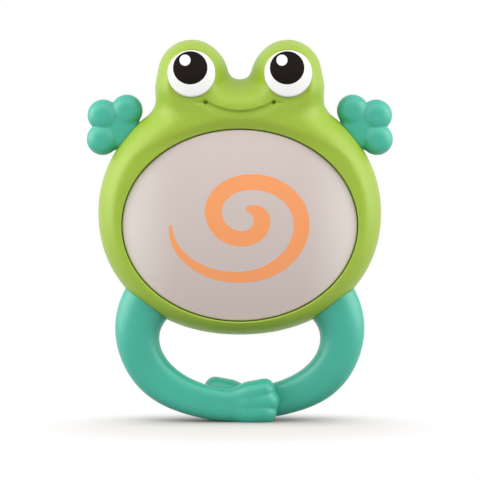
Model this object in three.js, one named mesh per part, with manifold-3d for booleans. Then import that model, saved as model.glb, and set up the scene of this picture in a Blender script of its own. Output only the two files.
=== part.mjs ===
// A frog tap drum for a baby, with soft teething hands and a soft loop of two crossed legs to hold.
// Millimetres, +Z up. The face looks along -Y, the two shells part at y = 0, the feet stand on z = 0.
import * as THREE from "three";
import { mergeVertices } from "three/addons/utils/BufferGeometryUtils.js";
import Module from "manifold-3d";

const wasm = await Module();
wasm.setup();

// Clearances
const FIT = 0.3; // between pieces that fit into, round or against each other
const SEAT = 0.1; // under a piece that lies flat on its seat
const PAST = 3; // how far a cutter reaches beyond the face that it opens

// Body outline, seen from the front, with its heights measured from the tap panel's centre
const PANEL_Z = 88.7;
const BODY_ABOVE_PANEL = 5.3;
const BODY_HALF_WIDTH = 63.6;
const BODY_UP = 57.2; // from the widest level to the top of the body's oval
const BODY_DOWN = 54.9; // from the widest level to its lowest point
const BODY_Z = PANEL_Z + BODY_ABOVE_PANEL;
const EYE_X = 21.5;
const EYE_ABOVE_BODY = 62.2;
const EYE_Z = BODY_Z + EYE_ABOVE_BODY;
const EYE_LOBE_RADIUS = 15.4;
const EYE_ROOT_X = 22.8; // where the eye lobe runs into the head
const EYE_ROOT_BELOW_EYE = 6.2;
const EYE_ROOT_Z = EYE_Z - EYE_ROOT_BELOW_EYE;
const EYE_ROOT_RADIUS = 15.2;
const VALLEY_BLEND = 17.3; // rounding of the dip between the eyes
const CHEEK_BLEND = 8; // rounding where the eye lobes meet the body

// Body depth, in front of and behind the parting plane
const WALL = 2.2;
const RIM_DEPTH = 17;
const RIM_ROUND = 12;
const BACK_DEPTH = 20.5;
const BACK_ROUND = 17;
const LOBE_ROUND = 6.5; // the eye lobes' rounding, tighter than the rim's
const SOCKET_DEPTH = 17.3; // of the green round an eye, level with the eye's centre
const SOCKET_RADIUS = 16.5;
const EYE_TILT = 12; // degrees that the eyes look up
const EYE_FRONT_DEPTH = 20.5;
const SNOUT_BELOW_EYE = 9.7;
const SNOUT_Z = EYE_Z - SNOUT_BELOW_EYE;
const SNOUT_HALF_WIDTH = 25;
const SNOUT_HALF_HEIGHT = 12;
const SNOUT_RISE = 3;
const FACE_BLEND = 2.5; // rounding between snout and eye sockets
const EDGE_BAND = 4.5; // band along the outline whose rings follow it
const TONGUE_HEIGHT = 1.6; // of the rear shell's edge inside the front shell's edge

// Smile crease
const SMILE_HALF_WIDTH = 15.4;
const SMILE_BELOW_EYE = 13.4;
const SMILE_END_Z = EYE_Z - SMILE_BELOW_EYE;
const SMILE_SAG = 3.9;
const SMILE_RADIUS = 1.3;
const DIMPLE_RADIUS = 2.6;
const DIMPLE_BITE = 0.8;
const DIMPLE_OUT = 1.8;

// Tap panel and its recess
const PANEL_HALF_WIDTH = 52.4;
const PANEL_HALF_HEIGHT = 42.7;
const PANEL_GAP = 0.45;
const PANEL_WALL = 2;
const PANEL_RISE = 4.2;
const PANEL_SKIRT = 3.2;
const PANEL_ROUND = 0.9;
const PANEL_DROP = 0.5; // of the panel's edge below the lip of the recess
const PANEL_TRAVEL = 1.2;
const PANEL_UNDER = 1.8; // left under the skirt at full travel
const LIP_DEPTH = 15.2;
const LIP_SLOPE = 1.1;
const LIP_BLEND = 2;
const CUP_WALL = 1.8;
const FLOOR_THICK = 1.8;

// Panel posts, return springs and retaining screws
const POST_X = 30;
const POST_Z = 20;
const POST_RADIUS = 2.5;
const SPRING_WIRE = 0.6;
const SPRING_LENGTH = 4.6;
const SPRING_TURNS = 3;
const COLLAR_WALL = 0.5;
const PANEL_SCREW_LENGTH = 6;
const WASHER_RADIUS = 4;

// Screws
const SCREW_RADIUS = 1.1;
const SCREW_HEAD_RADIUS = 2.4;
const SCREW_HEAD_HEIGHT = 1.5;
const SCREW_TIP = 1;
const PILOT_EXTRA = 0.6; // depth of a screw hole beyond the screw's point

// Shell screws, their bosses in the front shell and their tubes in the rear shell
const SHELL_SCREW_LENGTH = 9;
const BOSS_RADIUS = 3.2;
const BOSS_Y = 2.3; // the front bosses' ends, behind the parting plane
const TUBE_WALL = 1.2;
const TUBE_FLOOR = 1.6;
const SIDE_SCREW_ANGLE = 8; // degrees above level, seen from the panel's centre
const SIDE_SCREW_INSET = 16.5;
const LOW_SCREW_ANGLE = -60;
const LOW_SCREW_INSET = 13.5;
const TOP_SCREW_BELOW_EYE = 11.5;

// Eyes
const EYE_RADIUS = 10.9;
const EYE_EDGE = 1.3;
const EYE_DOME = 2.1;
const EYE_STEM_RADIUS = 2;
const EYE_STEM_PAST = 1.5; // how far the stem stands out inside the shell
const PUPIL_RADIUS = 7.6;
const PUPIL_X = -0.5;
const PUPIL_UP = 2.2;
const PUPIL_FLOOR = 0.8;
const PUPIL_GAP = 0.15;

// Hands
const HAND_ANGLE = 141.8; // degrees round the panel's centre
const FINGER_RADIUS = 6.9;
const FINGER_HALF_DEPTH = 6.4;
const FINGER_OUT = 14.3; // the middle finger's centre, out from the body's edge
const SIDE_FINGER_OUT = 7.4;
const SIDE_FINGER_SPREAD = 8.6;
const PALM_RADIUS = 10.4;
const PALM_HALF_DEPTH = 5.6;
const PALM_OUT = 4.2;
const HAND_STEM_RADIUS = 3.4;
const HAND_FLANGE_RADIUS = 5.4;
const HAND_FLANGE_THICK = 2;
const HAND_FLANGE_GAP = 1.5; // from the shell's inner wall

// Leg loop
const LOOP_HALF_WIDTH = 46;
const LOOP_HALF_HEIGHT = 32.3;
const LOOP_Z = 39.4;
const LEG_ROOT_ANGLE = 155;
const LEG_CROSS_START = 205;
const LEG_CROSS_END = 260;
const LEG_END_ANGLE = 281;
const LEG_START_ANGLE = 143;
const LEG_ROOT_WIDTH = 23.5;
const LEG_ANKLE_WIDTH = 16;
const LEG_ROOT_DEPTH = 20;
const LEG_ANKLE_DEPTH = 10.4;
const LEG_CROSS = 4.6; // how far each foot stands off the mid-plane
const LEG_SQUARE = 2.4; // section exponent: 2 is an ellipse
const FOOT_HEIGHT = 18.2;
const FOOT_LIFT = 1.5;
const TOE_HALF_LENGTH = 8.5;
const TOE_HALF_HEIGHT = 3.8;
const TOE_HALF_DEPTH = 5;
const TOE_PITCH = 5.8;
const TOE_Z = 9.9;
const TOE_END_X = 16;
const TOE_LEAD = 1.4;
const NECK_WIDTH = 12;
const NECK_DEPTH = 9;
const NECK_IN_LEG = 4;
const LEG_FLANGE_WIDTH = 17;
const LEG_FLANGE_DEPTH = 11.4;
const LEG_FLANGE_THICK = 3;
const LEG_FLANGE_GAP = 2.3;

// Circuit board and what stands on it
const BOARD_HALF_X = 22;
const BOARD_HALF_Z = 16;
const BOARD_THICK = 1.6;
const BOARD_CORNER = 2;
const STANDOFF = 1.2;
const STANDOFF_RADIUS = 2.6;
const BOARD_SCREW_X = 18.5;
const BOARD_SCREW_LENGTH = 4;
const LAMP_X = 13;
const LAMP_Z = 9;
const LAMP_RADIUS = 1.5;
const LAMP_FLANGE_RADIUS = 1.9;
const LAMP_FLANGE = 0.8;
const LAMP_HEIGHT = 4.6;
const LAMP_WINDOW_GAP = 1;
const CHIP_X = -9;
const CHIP_Z = -6;
const CHIP_RADIUS = 4.5;
const CHIP_HEIGHT = 1.4;
const TAP_HALF = 3;
const TAP_HEIGHT = 3.5;
const TAP_FLOOR = 0.6;
const TAP_WINDOW_GAP = 1.2;
const PLUNGER_RADIUS = 1.5;
const PLUNGER_LEFT = 0.4; // left standing out of the switch at full travel
const PLUNGER_ROOT = 1.4; // inside the switch at rest
const STRIKER_RADIUS = 3;

// Battery bay, door, cells and contacts
const CELL_RADIUS = 5.25;
const CELL_LENGTH = 44.5;
const CELL_NUB_RADIUS = 1.9;
const CELL_NUB = 0.8;
const BAY_BELOW_PANEL = 6.7;
const BAY_Z = PANEL_Z - BAY_BELOW_PANEL;
const BAY_PLAY = 0.4;
const BAY_WALL = 1.4;
const BAY_FLOOR = 1.5;
const CONTACT_THICK = 0.5;
const CONTACT_HALF_WIDTH = 4.4;
const CONTACT_TAIL_HALF = 1.4;
const CONTACT_TAIL_PAST = 1.4; // how far a contact's tail stands out under the bay's floor
const CONTACT_SPRING_LENGTH = 4.6;
const CONTACT_SPRING_RADIUS = 3;
const DOOR_THICK = 2.6;
const DOOR_LEDGE = 1.5;
const DOOR_CORNER = 3;
const DOOR_LUG_RADIUS = 5;
const DOOR_LUG_OUT = 2.4;
const DOOR_SCREW_LENGTH = 6;
const DOOR_SCREW_SINK = 1.7;

// Speaker
const SPEAKER_ABOVE_BAY = 35.5;
const SPEAKER_Z = BAY_Z + SPEAKER_ABOVE_BAY;
const SPEAKER_RADIUS = 14;
const SPEAKER_RIM = 1.3;
const SPEAKER_NECK_RADIUS = 11.5;
const SPEAKER_BACK_RADIUS = 8.5;
const SPEAKER_HEIGHT = 5.4;
const CONE_RADIUS = 10.4;
const CONE_CAP_RADIUS = 4;
const CONE_DEPTH = 2.4;
const CONE_THICK = 0.5;
const MAGNET_RADIUS = 8;
const MAGNET_HEIGHT = 3.4;
const SPEAKER_WALL = 1.4;
const RETAINER_THICK = 1.4;
const RETAINER_EAR_RADIUS = 2.8;
const RETAINER_SCREW_LENGTH = 3.6;
const GRILLE_RADIUS = 10.5;
const GRILLE_SLOTS = 5;
const GRILLE_SLOT_HALF = 0.9;

// Power switch
const SWITCH_ANGLE = 35.2; // degrees above level, seen from the panel's centre
const SWITCH_INSET = 24.2;
const SWITCH_TRAVEL = 4;
const KNOB_HALF_X = 2.5;
const KNOB_HALF_Z = 2.1;
const KNOB_BASE_HALF_X = 5.6;
const KNOB_BASE_HALF_Z = 3.4;
const KNOB_BASE_THICK = 1.1;
const KNOB_BELOW_BACK = 0.1;
const DISH_DEPTH = 0.9;
const DISH_MARGIN = 2.2;
const SWITCH_BODY_HALF_X = 9;
const SWITCH_BODY_HALF_Z = 3.6;
const SWITCH_BODY_HEIGHT = 4.4;
const SWITCH_EAR_RADIUS = 2.4;
const SWITCH_PIN_RADIUS = 1.1;
const SWITCH_PIN_PAST = 0.8;
const SWITCH_EAR_THICK = 1.4;

// Leads
const LEAD_RADIUS = 0.6;
const LEAD_LAND = 0.3; // from a lead's end to what it is soldered to

// Sides of round pieces
const OUTLINE_SIDES = 60;
const CAVITY_SIDES = 30;
const OVAL_SIDES = 40;
const BOSS_SIDES = 8;
const SMALL_SIDES = 6;
const EYE_SIDES = 18;
const SPEAKER_SIDES = 16;
const EDGE_RINGS = 4;
const FACE_RINGS = 4;
const BACK_RINGS = 3;
const CAVITY_EDGE_RINGS = 2;
const CAVITY_RINGS = 2;

// Solids: skins become solids to join and cut, and go back to skins

function solidOf(geometry) {
  const bare = geometry.clone();
  bare.deleteAttribute("normal");
  bare.deleteAttribute("uv");
  const welded = mergeVertices(bare, 1e-4);
  const vertProperties = new Float32Array(welded.attributes.position.array);
  const faces = Array.from(welded.index.array);
  const triVerts = [];
  for (let i = 0; i < faces.length; i += 3) {
    const [a, b, c] = faces.slice(i, i + 3);
    if (a !== b && b !== c && c !== a) triVerts.push(a, b, c);
  }
  const skin = new wasm.Mesh({ numProp: 3, vertProperties, triVerts: new Uint32Array(triVerts) });
  return new wasm.Manifold(skin);
}

function skinOf(solid) {
  const { vertProperties, triVerts } = solid.getMesh();
  const geometry = new THREE.BufferGeometry();
  geometry.setAttribute("position", new THREE.BufferAttribute(vertProperties, 3));
  geometry.setIndex(new THREE.BufferAttribute(triVerts, 1));
  geometry.computeVertexNormals();
  return geometry;
}

const joined = (first, ...others) => others.reduce((sum, other) => sum.add(other), first);
const cutBy = (first, ...others) => others.reduce((sum, other) => sum.subtract(other), first);

// A closed skin through rings of equal count, with a fan of faces over each end.
function loft(rings, firstMiddle, lastMiddle) {
  const count = rings[0].length;
  const points = [...rings.flat(), firstMiddle, lastMiddle];
  const firstFan = rings.length * count;
  const lastRing = firstFan - count;
  let faces = [];
  for (let i = 0; i < count; i += 1) {
    const next = (i + 1) % count;
    for (let low = 0; low < lastRing; low += count) {
      const high = low + count;
      faces.push([low + i, low + next, high + next], [low + i, high + next, high + i]);
    }
    faces.push([firstFan, next, i], [firstFan + 1, lastRing + i, lastRing + next]);
  }
  const volume = faces.reduce((sum, [a, b, c]) => {
    return sum + points[a].dot(new THREE.Vector3().crossVectors(points[b], points[c]));
  }, 0);
  if (volume < 0) faces = faces.map(([a, b, c]) => [a, c, b]);
  return new THREE.BufferGeometry().setFromPoints(points).setIndex(faces.flat());
}

function middle(ring) {
  const sum = ring.reduce((total, point) => total.add(point), new THREE.Vector3());
  return sum.divideScalar(ring.length);
}

const closedLoft = (rings) => loft(rings, middle(rings[0]), middle(rings[rings.length - 1]));

// A round bar along Y, from the face at front to the face at back.
function barY(x, z, radius, front, back, sides = BOSS_SIDES) {
  const bar = new THREE.CylinderGeometry(radius, radius, back - front, sides);
  return solidOf(bar.translate(x, (front + back) / 2, z));
}

function block(x0, x1, y0, y1, z0, z1) {
  const box = new THREE.BoxGeometry(x1 - x0, y1 - y0, z1 - z0);
  return solidOf(box.translate((x0 + x1) / 2, (y0 + y1) / 2, (z0 + z1) / 2));
}

// A flat plate of an XZ shape, from the face at front to the face at back.
function plate(shape, front, back, curveSegments = BOSS_SIDES) {
  const depth = back - front;
  const sheet = new THREE.ExtrudeGeometry(shape, { depth, bevelEnabled: false, curveSegments });
  return solidOf(sheet.rotateX(Math.PI / 2).translate(0, back, 0));
}

function ovalShape(x, z, halfX, halfZ) {
  return new THREE.Shape().absellipse(x, z, halfX, halfZ, 0, 2 * Math.PI);
}

function roundedShape(x, z, halfX, halfZ, corner) {
  const shape = new THREE.Shape();
  const quarter = Math.PI / 2;
  shape.absarc(x + halfX - corner, z + halfZ - corner, corner, 0, quarter);
  shape.absarc(x - halfX + corner, z + halfZ - corner, corner, quarter, 2 * quarter);
  shape.absarc(x - halfX + corner, z - halfZ + corner, corner, 2 * quarter, 3 * quarter);
  shape.absarc(x + halfX - corner, z - halfZ + corner, corner, 3 * quarter, 4 * quarter);
  return shape;
}

// A revolved skin about Y. The profile runs from its front end on the axis to its back end on the axis.
function revolved(profile, sides) {
  return new THREE.LatheGeometry(profile.map(([radius, y]) => new THREE.Vector2(radius, y)), sides);
}

function ball(centre, halfX, halfY, halfZ, across, down) {
  const skin = new THREE.SphereGeometry(1, across, down);
  return solidOf(skin.scale(halfX, halfY, halfZ).translate(centre.x, centre.y, centre.z));
}

// Fields that shape the body

const lerp = THREE.MathUtils.lerp;
const clamp = THREE.MathUtils.clamp;
const degrees = THREE.MathUtils.degToRad;

function ovalDistance(x, z, halfX, halfZ) {
  const near = Math.hypot(x / halfX, z / halfZ);
  const steep = Math.hypot(x / halfX ** 2, z / halfZ ** 2);
  return steep === 0 ? -Math.min(halfX, halfZ) : (near * (near - 1)) / steep;
}

function smoothLeast(a, b, blend) {
  const near = Math.max(blend - Math.abs(a - b), 0) / blend;
  return Math.min(a, b) - (near * near * blend) / 4;
}

function bodyDistance(x, z) {
  return ovalDistance(x, z - BODY_Z, BODY_HALF_WIDTH, z > BODY_Z ? BODY_UP : BODY_DOWN);
}

function eyeLobeDistance(x, z) {
  const runX = EYE_ROOT_X - EYE_X;
  const runZ = EYE_ROOT_Z - EYE_Z;
  const along = ((x - EYE_X) * runX + (z - EYE_Z) * runZ) / (runX ** 2 + runZ ** 2);
  const share = clamp(along, 0, 1);
  const away = Math.hypot(x - EYE_X - share * runX, z - EYE_Z - share * runZ);
  return away - lerp(EYE_LOBE_RADIUS, EYE_ROOT_RADIUS, share);
}

function outlineDistance(x, z) {
  const eyes = smoothLeast(eyeLobeDistance(x, z), eyeLobeDistance(-x, z), VALLEY_BLEND);
  return smoothLeast(bodyDistance(x, z), eyes, CHEEK_BLEND);
}

function openingDistance(x, z) {
  return ovalDistance(x, z - PANEL_Z, PANEL_HALF_WIDTH + PANEL_GAP, PANEL_HALF_HEIGHT + PANEL_GAP);
}

// Distance from the panel's centre, at an angle, to the line where a field has the given level.
function reach(field, angle, level) {
  let inside = 0;
  let outside = 2 * (BODY_HALF_WIDTH + EYE_Z);
  for (let i = 0; i < 50; i += 1) {
    const radius = (inside + outside) / 2;
    const here = field(radius * Math.cos(angle), PANEL_Z + radius * Math.sin(angle));
    if (here < level) inside = radius;
    else outside = radius;
  }
  return inside;
}

// Angles that space points evenly along the outline, from the top of the head round to it again.
function spacedAngles(count) {
  const fine = count * 12;
  const angles = [];
  const walked = [];
  let length = 0;
  let last = null;
  for (let i = 0; i <= fine; i += 1) {
    const angle = Math.PI / 2 + (i / fine) * 2 * Math.PI;
    const radius = reach(outlineDistance, angle, 0);
    const point = new THREE.Vector2(radius * Math.cos(angle), radius * Math.sin(angle));
    if (last) length += point.distanceTo(last);
    angles.push(angle);
    walked.push(length);
    last = point;
  }
  return Array.from({ length: count }, (_, i) => {
    const goal = (i / count) * length;
    const upper = Math.max(walked.findIndex((walk) => walk >= goal), 1);
    const share = (goal - walked[upper - 1]) / (walked[upper] - walked[upper - 1]);
    return lerp(angles[upper - 1], angles[upper], share);
  });
}

// Depth of the eyes' seats at their centre: the leaning dome's foremost point lies at EYE_FRONT_DEPTH
const eyeLean = Math.cos(degrees(EYE_TILT));
const eyeCurve = EYE_RADIUS ** 2 / (2 * EYE_DOME);
const eyeSeatDepth = EYE_FRONT_DEPTH - (FIT + EYE_EDGE + EYE_DOME) * eyeLean - eyeCurve * (1 - eyeLean);

function quarterRound(share) {
  return Math.sqrt(1 - (1 - clamp(share, 0, 1)) ** 2);
}

function swell(distance) {
  return distance < 1 ? (1 - distance ** 2) ** 2 : 0;
}

// Depth of a plane that leans back with the eyes, given its depth at their centre
function eyePlane(z, depth) {
  return depth + (EYE_Z - z) * Math.tan(degrees(EYE_TILT));
}

function frontDepth(x, z, grow) {
  const fromEye = Math.hypot(Math.abs(x) - EYE_X, z - EYE_Z);
  const socket = 1 - THREE.MathUtils.smoothstep(fromEye, EYE_RADIUS, SOCKET_RADIUS);
  const round = lerp(RIM_ROUND, LOBE_ROUND, socket) + grow;
  const rim = quarterRound((grow - outlineDistance(x, z)) / round);
  const depth = RIM_DEPTH + grow;
  if (grow < 0) return rim * lerp(depth, Math.min(depth, eyePlane(z, eyeSeatDepth) + grow), socket);
  const eye = lerp(depth, eyePlane(z, SOCKET_DEPTH + grow), socket);
  const snout = swell(Math.hypot(x / SNOUT_HALF_WIDTH, (z - SNOUT_Z) / SNOUT_HALF_HEIGHT));
  const face = -rim * smoothLeast(-eye, -depth - SNOUT_RISE * snout, FACE_BLEND);
  return smoothLeast(face, LIP_DEPTH + grow + LIP_SLOPE * openingDistance(x, z), LIP_BLEND);
}

function backDepth(x, z, grow) {
  return (BACK_DEPTH + grow) * quarterRound((grow - outlineDistance(x, z)) / (BACK_ROUND + grow));
}

// The direction out of the body, square to its outline
function outwards(x, z) {
  const slopeX = outlineDistance(x + FIT, z) - outlineDistance(x - FIT, z);
  const slopeZ = outlineDistance(x, z + FIT) - outlineDistance(x, z - FIT);
  return new THREE.Vector2(slopeX, slopeZ).normalize();
}

const fromPanel = (radius, angle) => {
  return new THREE.Vector2(radius * Math.cos(angle), PANEL_Z + radius * Math.sin(angle));
};

// A run of places from the outline inwards: square to it through the edge band, then towards the panel
function column(angle, grow, isFront, edgeRings, faceRings) {
  const edge = fromPanel(reach(outlineDistance, angle, grow), angle);
  const out = outwards(edge.x, edge.y);
  const band = Array.from({ length: edgeRings + 1 }, (_, k) => {
    return edge.clone().addScaledVector(out, -EDGE_BAND * (k / edgeRings) ** 1.7);
  });
  const { x, y } = band[edgeRings];
  const turn = Math.atan2(y - PANEL_Z, x);
  const level = isFront ? 2 * Math.min(grow, 0) : -BACK_ROUND;
  const end = reach(isFront ? openingDistance : bodyDistance, turn, level);
  const inner = Array.from({ length: faceRings }, (_, k) => {
    return fromPanel(lerp(Math.hypot(x, y - PANEL_Z), end, (k + 1) / faceRings), turn);
  });
  return [...band, ...inner];
}

// Half of the body as a full solid, with its outline moved out by grow
function bodyHalf(grow, isFront, sides, edgeRings, faceRings) {
  const columns = spacedAngles(sides).map((angle) => column(angle, grow, isFront, edgeRings, faceRings));
  const rings = columns[0].map((_, k) => columns.map((places) => {
    const { x, y: z } = places[k];
    const depth = isFront ? -frontDepth(x, z, grow) : backDepth(x, z, grow);
    return new THREE.Vector3(x, k === 0 ? 0 : depth, z);
  }));
  const end = middle(rings[rings.length - 1]).setX(0).setZ(PANEL_Z);
  return solidOf(loft(rings, new THREE.Vector3(0, 0, PANEL_Z), end));
}

// The outline moved out by grow, as a straight block between two depths.
function outlineBlock(grow, front, back, sides) {
  const angles = spacedAngles(sides);
  const rings = [front, back].map((y) => angles.map((angle) => {
    const radius = reach(outlineDistance, angle, grow);
    return new THREE.Vector3(radius * Math.cos(angle), y, PANEL_Z + radius * Math.sin(angle));
  }));
  const centres = [front, back].map((y) => new THREE.Vector3(0, y, PANEL_Z));
  return solidOf(loft(rings, ...centres));
}

// A place inside the outline, seen at an angle from the panel's centre
function insetPlace(angleInDegrees, inset) {
  const angle = degrees(angleInDegrees);
  const radius = reach(outlineDistance, angle, 0) - inset;
  return { x: radius * Math.cos(angle), z: PANEL_Z + radius * Math.sin(angle) };
}

const mirrored = ({ x, z }) => [{ x, z }, { x: -x, z }];

// Levels that pieces share

const openHalfX = PANEL_HALF_WIDTH + PANEL_GAP;
const openHalfZ = PANEL_HALF_HEIGHT + PANEL_GAP;
const panelEdgeDepth = LIP_DEPTH - PANEL_DROP;
const floorDepth = panelEdgeDepth - PANEL_SKIRT - PANEL_TRAVEL - PANEL_UNDER;
const floorBackDepth = floorDepth - FLOOR_THICK;
const boardDepth = floorBackDepth - STANDOFF - SEAT;
const boardBackDepth = boardDepth - BOARD_THICK;
const tapDepth = boardDepth + SEAT + TAP_HEIGHT;
const plungerDepth = tapDepth + PANEL_TRAVEL + PLUNGER_LEFT;
const springRadius = POST_RADIUS + FIT + SPRING_WIRE / 2;
const collarDepth = floorDepth + SEAT + SPRING_LENGTH + SEAT;
const pilotRadius = SCREW_RADIUS + FIT;
const headHole = SCREW_HEAD_RADIUS + FIT;
const backInside = BACK_DEPTH - WALL;
const front = EYE_FRONT_DEPTH + SNOUT_RISE + PAST;
const back = BACK_DEPTH + PAST;
const tubeSeat = BOSS_Y + SEAT + TUBE_FLOOR;
const tubeRadius = headHole + TUBE_WALL;

const postPlaces = [1, -1].flatMap((up) => mirrored({ x: POST_X, z: PANEL_Z + up * POST_Z }));
const lampPlaces = [1, -1].flatMap((up) => mirrored({ x: LAMP_X, z: PANEL_Z + up * LAMP_Z }));
const boardScrewPlaces = mirrored({ x: BOARD_SCREW_X, z: PANEL_Z });
const shellScrewPlaces = [
  ...mirrored({ x: EYE_ROOT_X, z: EYE_Z - TOP_SCREW_BELOW_EYE }),
  ...mirrored(insetPlace(SIDE_SCREW_ANGLE, SIDE_SCREW_INSET)),
  ...mirrored(insetPlace(LOW_SCREW_ANGLE, LOW_SCREW_INSET)),
];

// Soft pieces: where they pass through the shells

function sectionRing(centre, across, width, depth, sides) {
  return Array.from({ length: sides }, (_, i) => {
    const turn = (i / sides) * 2 * Math.PI;
    const flat = (value) => Math.sign(value) * Math.abs(value) ** (2 / LEG_SQUARE);
    const point = centre.clone().addScaledVector(across, (width / 2) * flat(Math.cos(turn)));
    return point.setY(point.y + (depth / 2) * flat(Math.sin(turn)));
  });
}

function loopCentre(angle) {
  const z = LOOP_Z + LOOP_HALF_HEIGHT * Math.sin(angle);
  return new THREE.Vector3(LOOP_HALF_WIDTH * Math.cos(angle), 0, z);
}

function loopAlong(angle) {
  const run = -LOOP_HALF_WIDTH * Math.sin(angle);
  return new THREE.Vector3(run, 0, LOOP_HALF_HEIGHT * Math.cos(angle)).normalize();
}

// Where the left leg's middle line leaves the body
function legRoot() {
  let inside = degrees(LEG_START_ANGLE) - Math.PI / 4;
  let outside = Math.PI;
  for (let i = 0; i < 50; i += 1) {
    const angle = (inside + outside) / 2;
    const { x, z } = loopCentre(angle);
    if (outlineDistance(x, z) < 0) inside = angle;
    else outside = angle;
  }
  return inside;
}

const rootPlace = loopCentre(legRoot());
const rootOut = outwards(rootPlace.x, rootPlace.z);
const rootAlong = new THREE.Vector3(rootOut.x, 0, rootOut.y);
const rootAcross = new THREE.Vector3(-rootAlong.z, 0, rootAlong.x);

// A straight run square to the body's edge at the left leg's root, between two distances out from it
function rootRun(from, to, width, depth) {
  const rings = [from, to].map((out) => {
    const centre = rootPlace.clone().addScaledVector(rootAlong, out);
    return sectionRing(centre, rootAcross, width, depth, BOSS_SIDES);
  });
  return closedLoft(rings);
}

const handPlace = insetPlace(HAND_ANGLE, 0);
const handOut = outwards(handPlace.x, handPlace.z).angle();

function handPoint(out, side) {
  const x = handPlace.x + out * Math.cos(handOut) - side * Math.sin(handOut);
  const z = handPlace.z + out * Math.sin(handOut) + side * Math.cos(handOut);
  return new THREE.Vector3(x, 0, z);
}

// A round bar along the left hand's axis, between two distances out from the body's edge
function handBar(radius, from, to) {
  const bar = new THREE.CylinderGeometry(radius, radius, to - from, BOSS_SIDES);
  const centre = handPoint((from + to) / 2, 0);
  return bar.rotateZ(-Math.PI / 2).rotateY(-handOut).translate(centre.x, 0, centre.z);
}

const turnedRound = (geometry) => geometry.clone().rotateZ(Math.PI);

function mirroredInX(geometry) {
  const other = geometry.clone().toNonIndexed().scale(-1, 1, 1);
  const points = other.attributes.position;
  for (let i = 0; i < points.count; i += 3) {
    const [b, c] = [i + 1, i + 2].map((k) => new THREE.Vector3().fromBufferAttribute(points, k));
    points.setXYZ(i + 1, c.x, c.y, c.z);
    points.setXYZ(i + 2, b.x, b.y, b.z);
  }
  return other;
}

const bothSides = (geometry) => [solidOf(geometry), solidOf(mirroredInX(geometry))];

const limbHoles = [
  ...bothSides(rootRun(-WALL - LEG_FLANGE_GAP, NECK_IN_LEG, NECK_WIDTH + 2 * FIT, NECK_DEPTH + 2 * FIT)),
  ...bothSides(handBar(HAND_STEM_RADIUS + FIT, -WALL - HAND_FLANGE_GAP, PAST)),
];

// Front shell

function smileCurve() {
  const points = Array.from({ length: 9 }, (_, i) => {
    const side = (i / 8) * 2 - 1;
    const x = side * SMILE_HALF_WIDTH;
    const z = SMILE_END_Z - SMILE_SAG * (1 - side ** 2);
    return new THREE.Vector3(x, -frontDepth(x, z, 0), z);
  });
  return new THREE.CatmullRomCurve3(points);
}

function smileCutters() {
  const section = new THREE.Shape().absarc(0, 0, SMILE_RADIUS, 0, 2 * Math.PI);
  const run = { steps: 12, extrudePath: smileCurve(), curveSegments: 2 };
  const crease = new THREE.ExtrudeGeometry(section, run);
  const x = SMILE_HALF_WIDTH + DIMPLE_OUT;
  const dimples = [x, -x].map((side) => {
    const y = -frontDepth(side, SMILE_END_Z, 0) - DIMPLE_RADIUS + DIMPLE_BITE;
    const centre = new THREE.Vector3(side, y, SMILE_END_Z);
    return ball(centre, DIMPLE_RADIUS, DIMPLE_RADIUS, DIMPLE_RADIUS, 6, 4);
  });
  return [solidOf(crease), ...dimples];
}

// A round bar along an eye's leaning axis, between two distances behind the eye's seat
function eyeBar(x, radius, from, to, sides) {
  const bar = new THREE.CylinderGeometry(radius, radius, to - from, sides);
  const leaning = bar.translate(0, (from + to) / 2, 0).rotateX(-degrees(EYE_TILT));
  return solidOf(leaning.translate(x, -eyeSeatDepth, EYE_Z));
}

// A screw boss that grows from the middle of the recess floor, or of the front wall beside it
function frontBoss({ x, z }) {
  const overFloor = openingDistance(x, z) < 0;
  const root = overFloor ? floorBackDepth + FLOOR_THICK / 2 : frontDepth(x, z, -WALL / 2);
  return barY(x, z, BOSS_RADIUS, -root, BOSS_Y);
}

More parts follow.
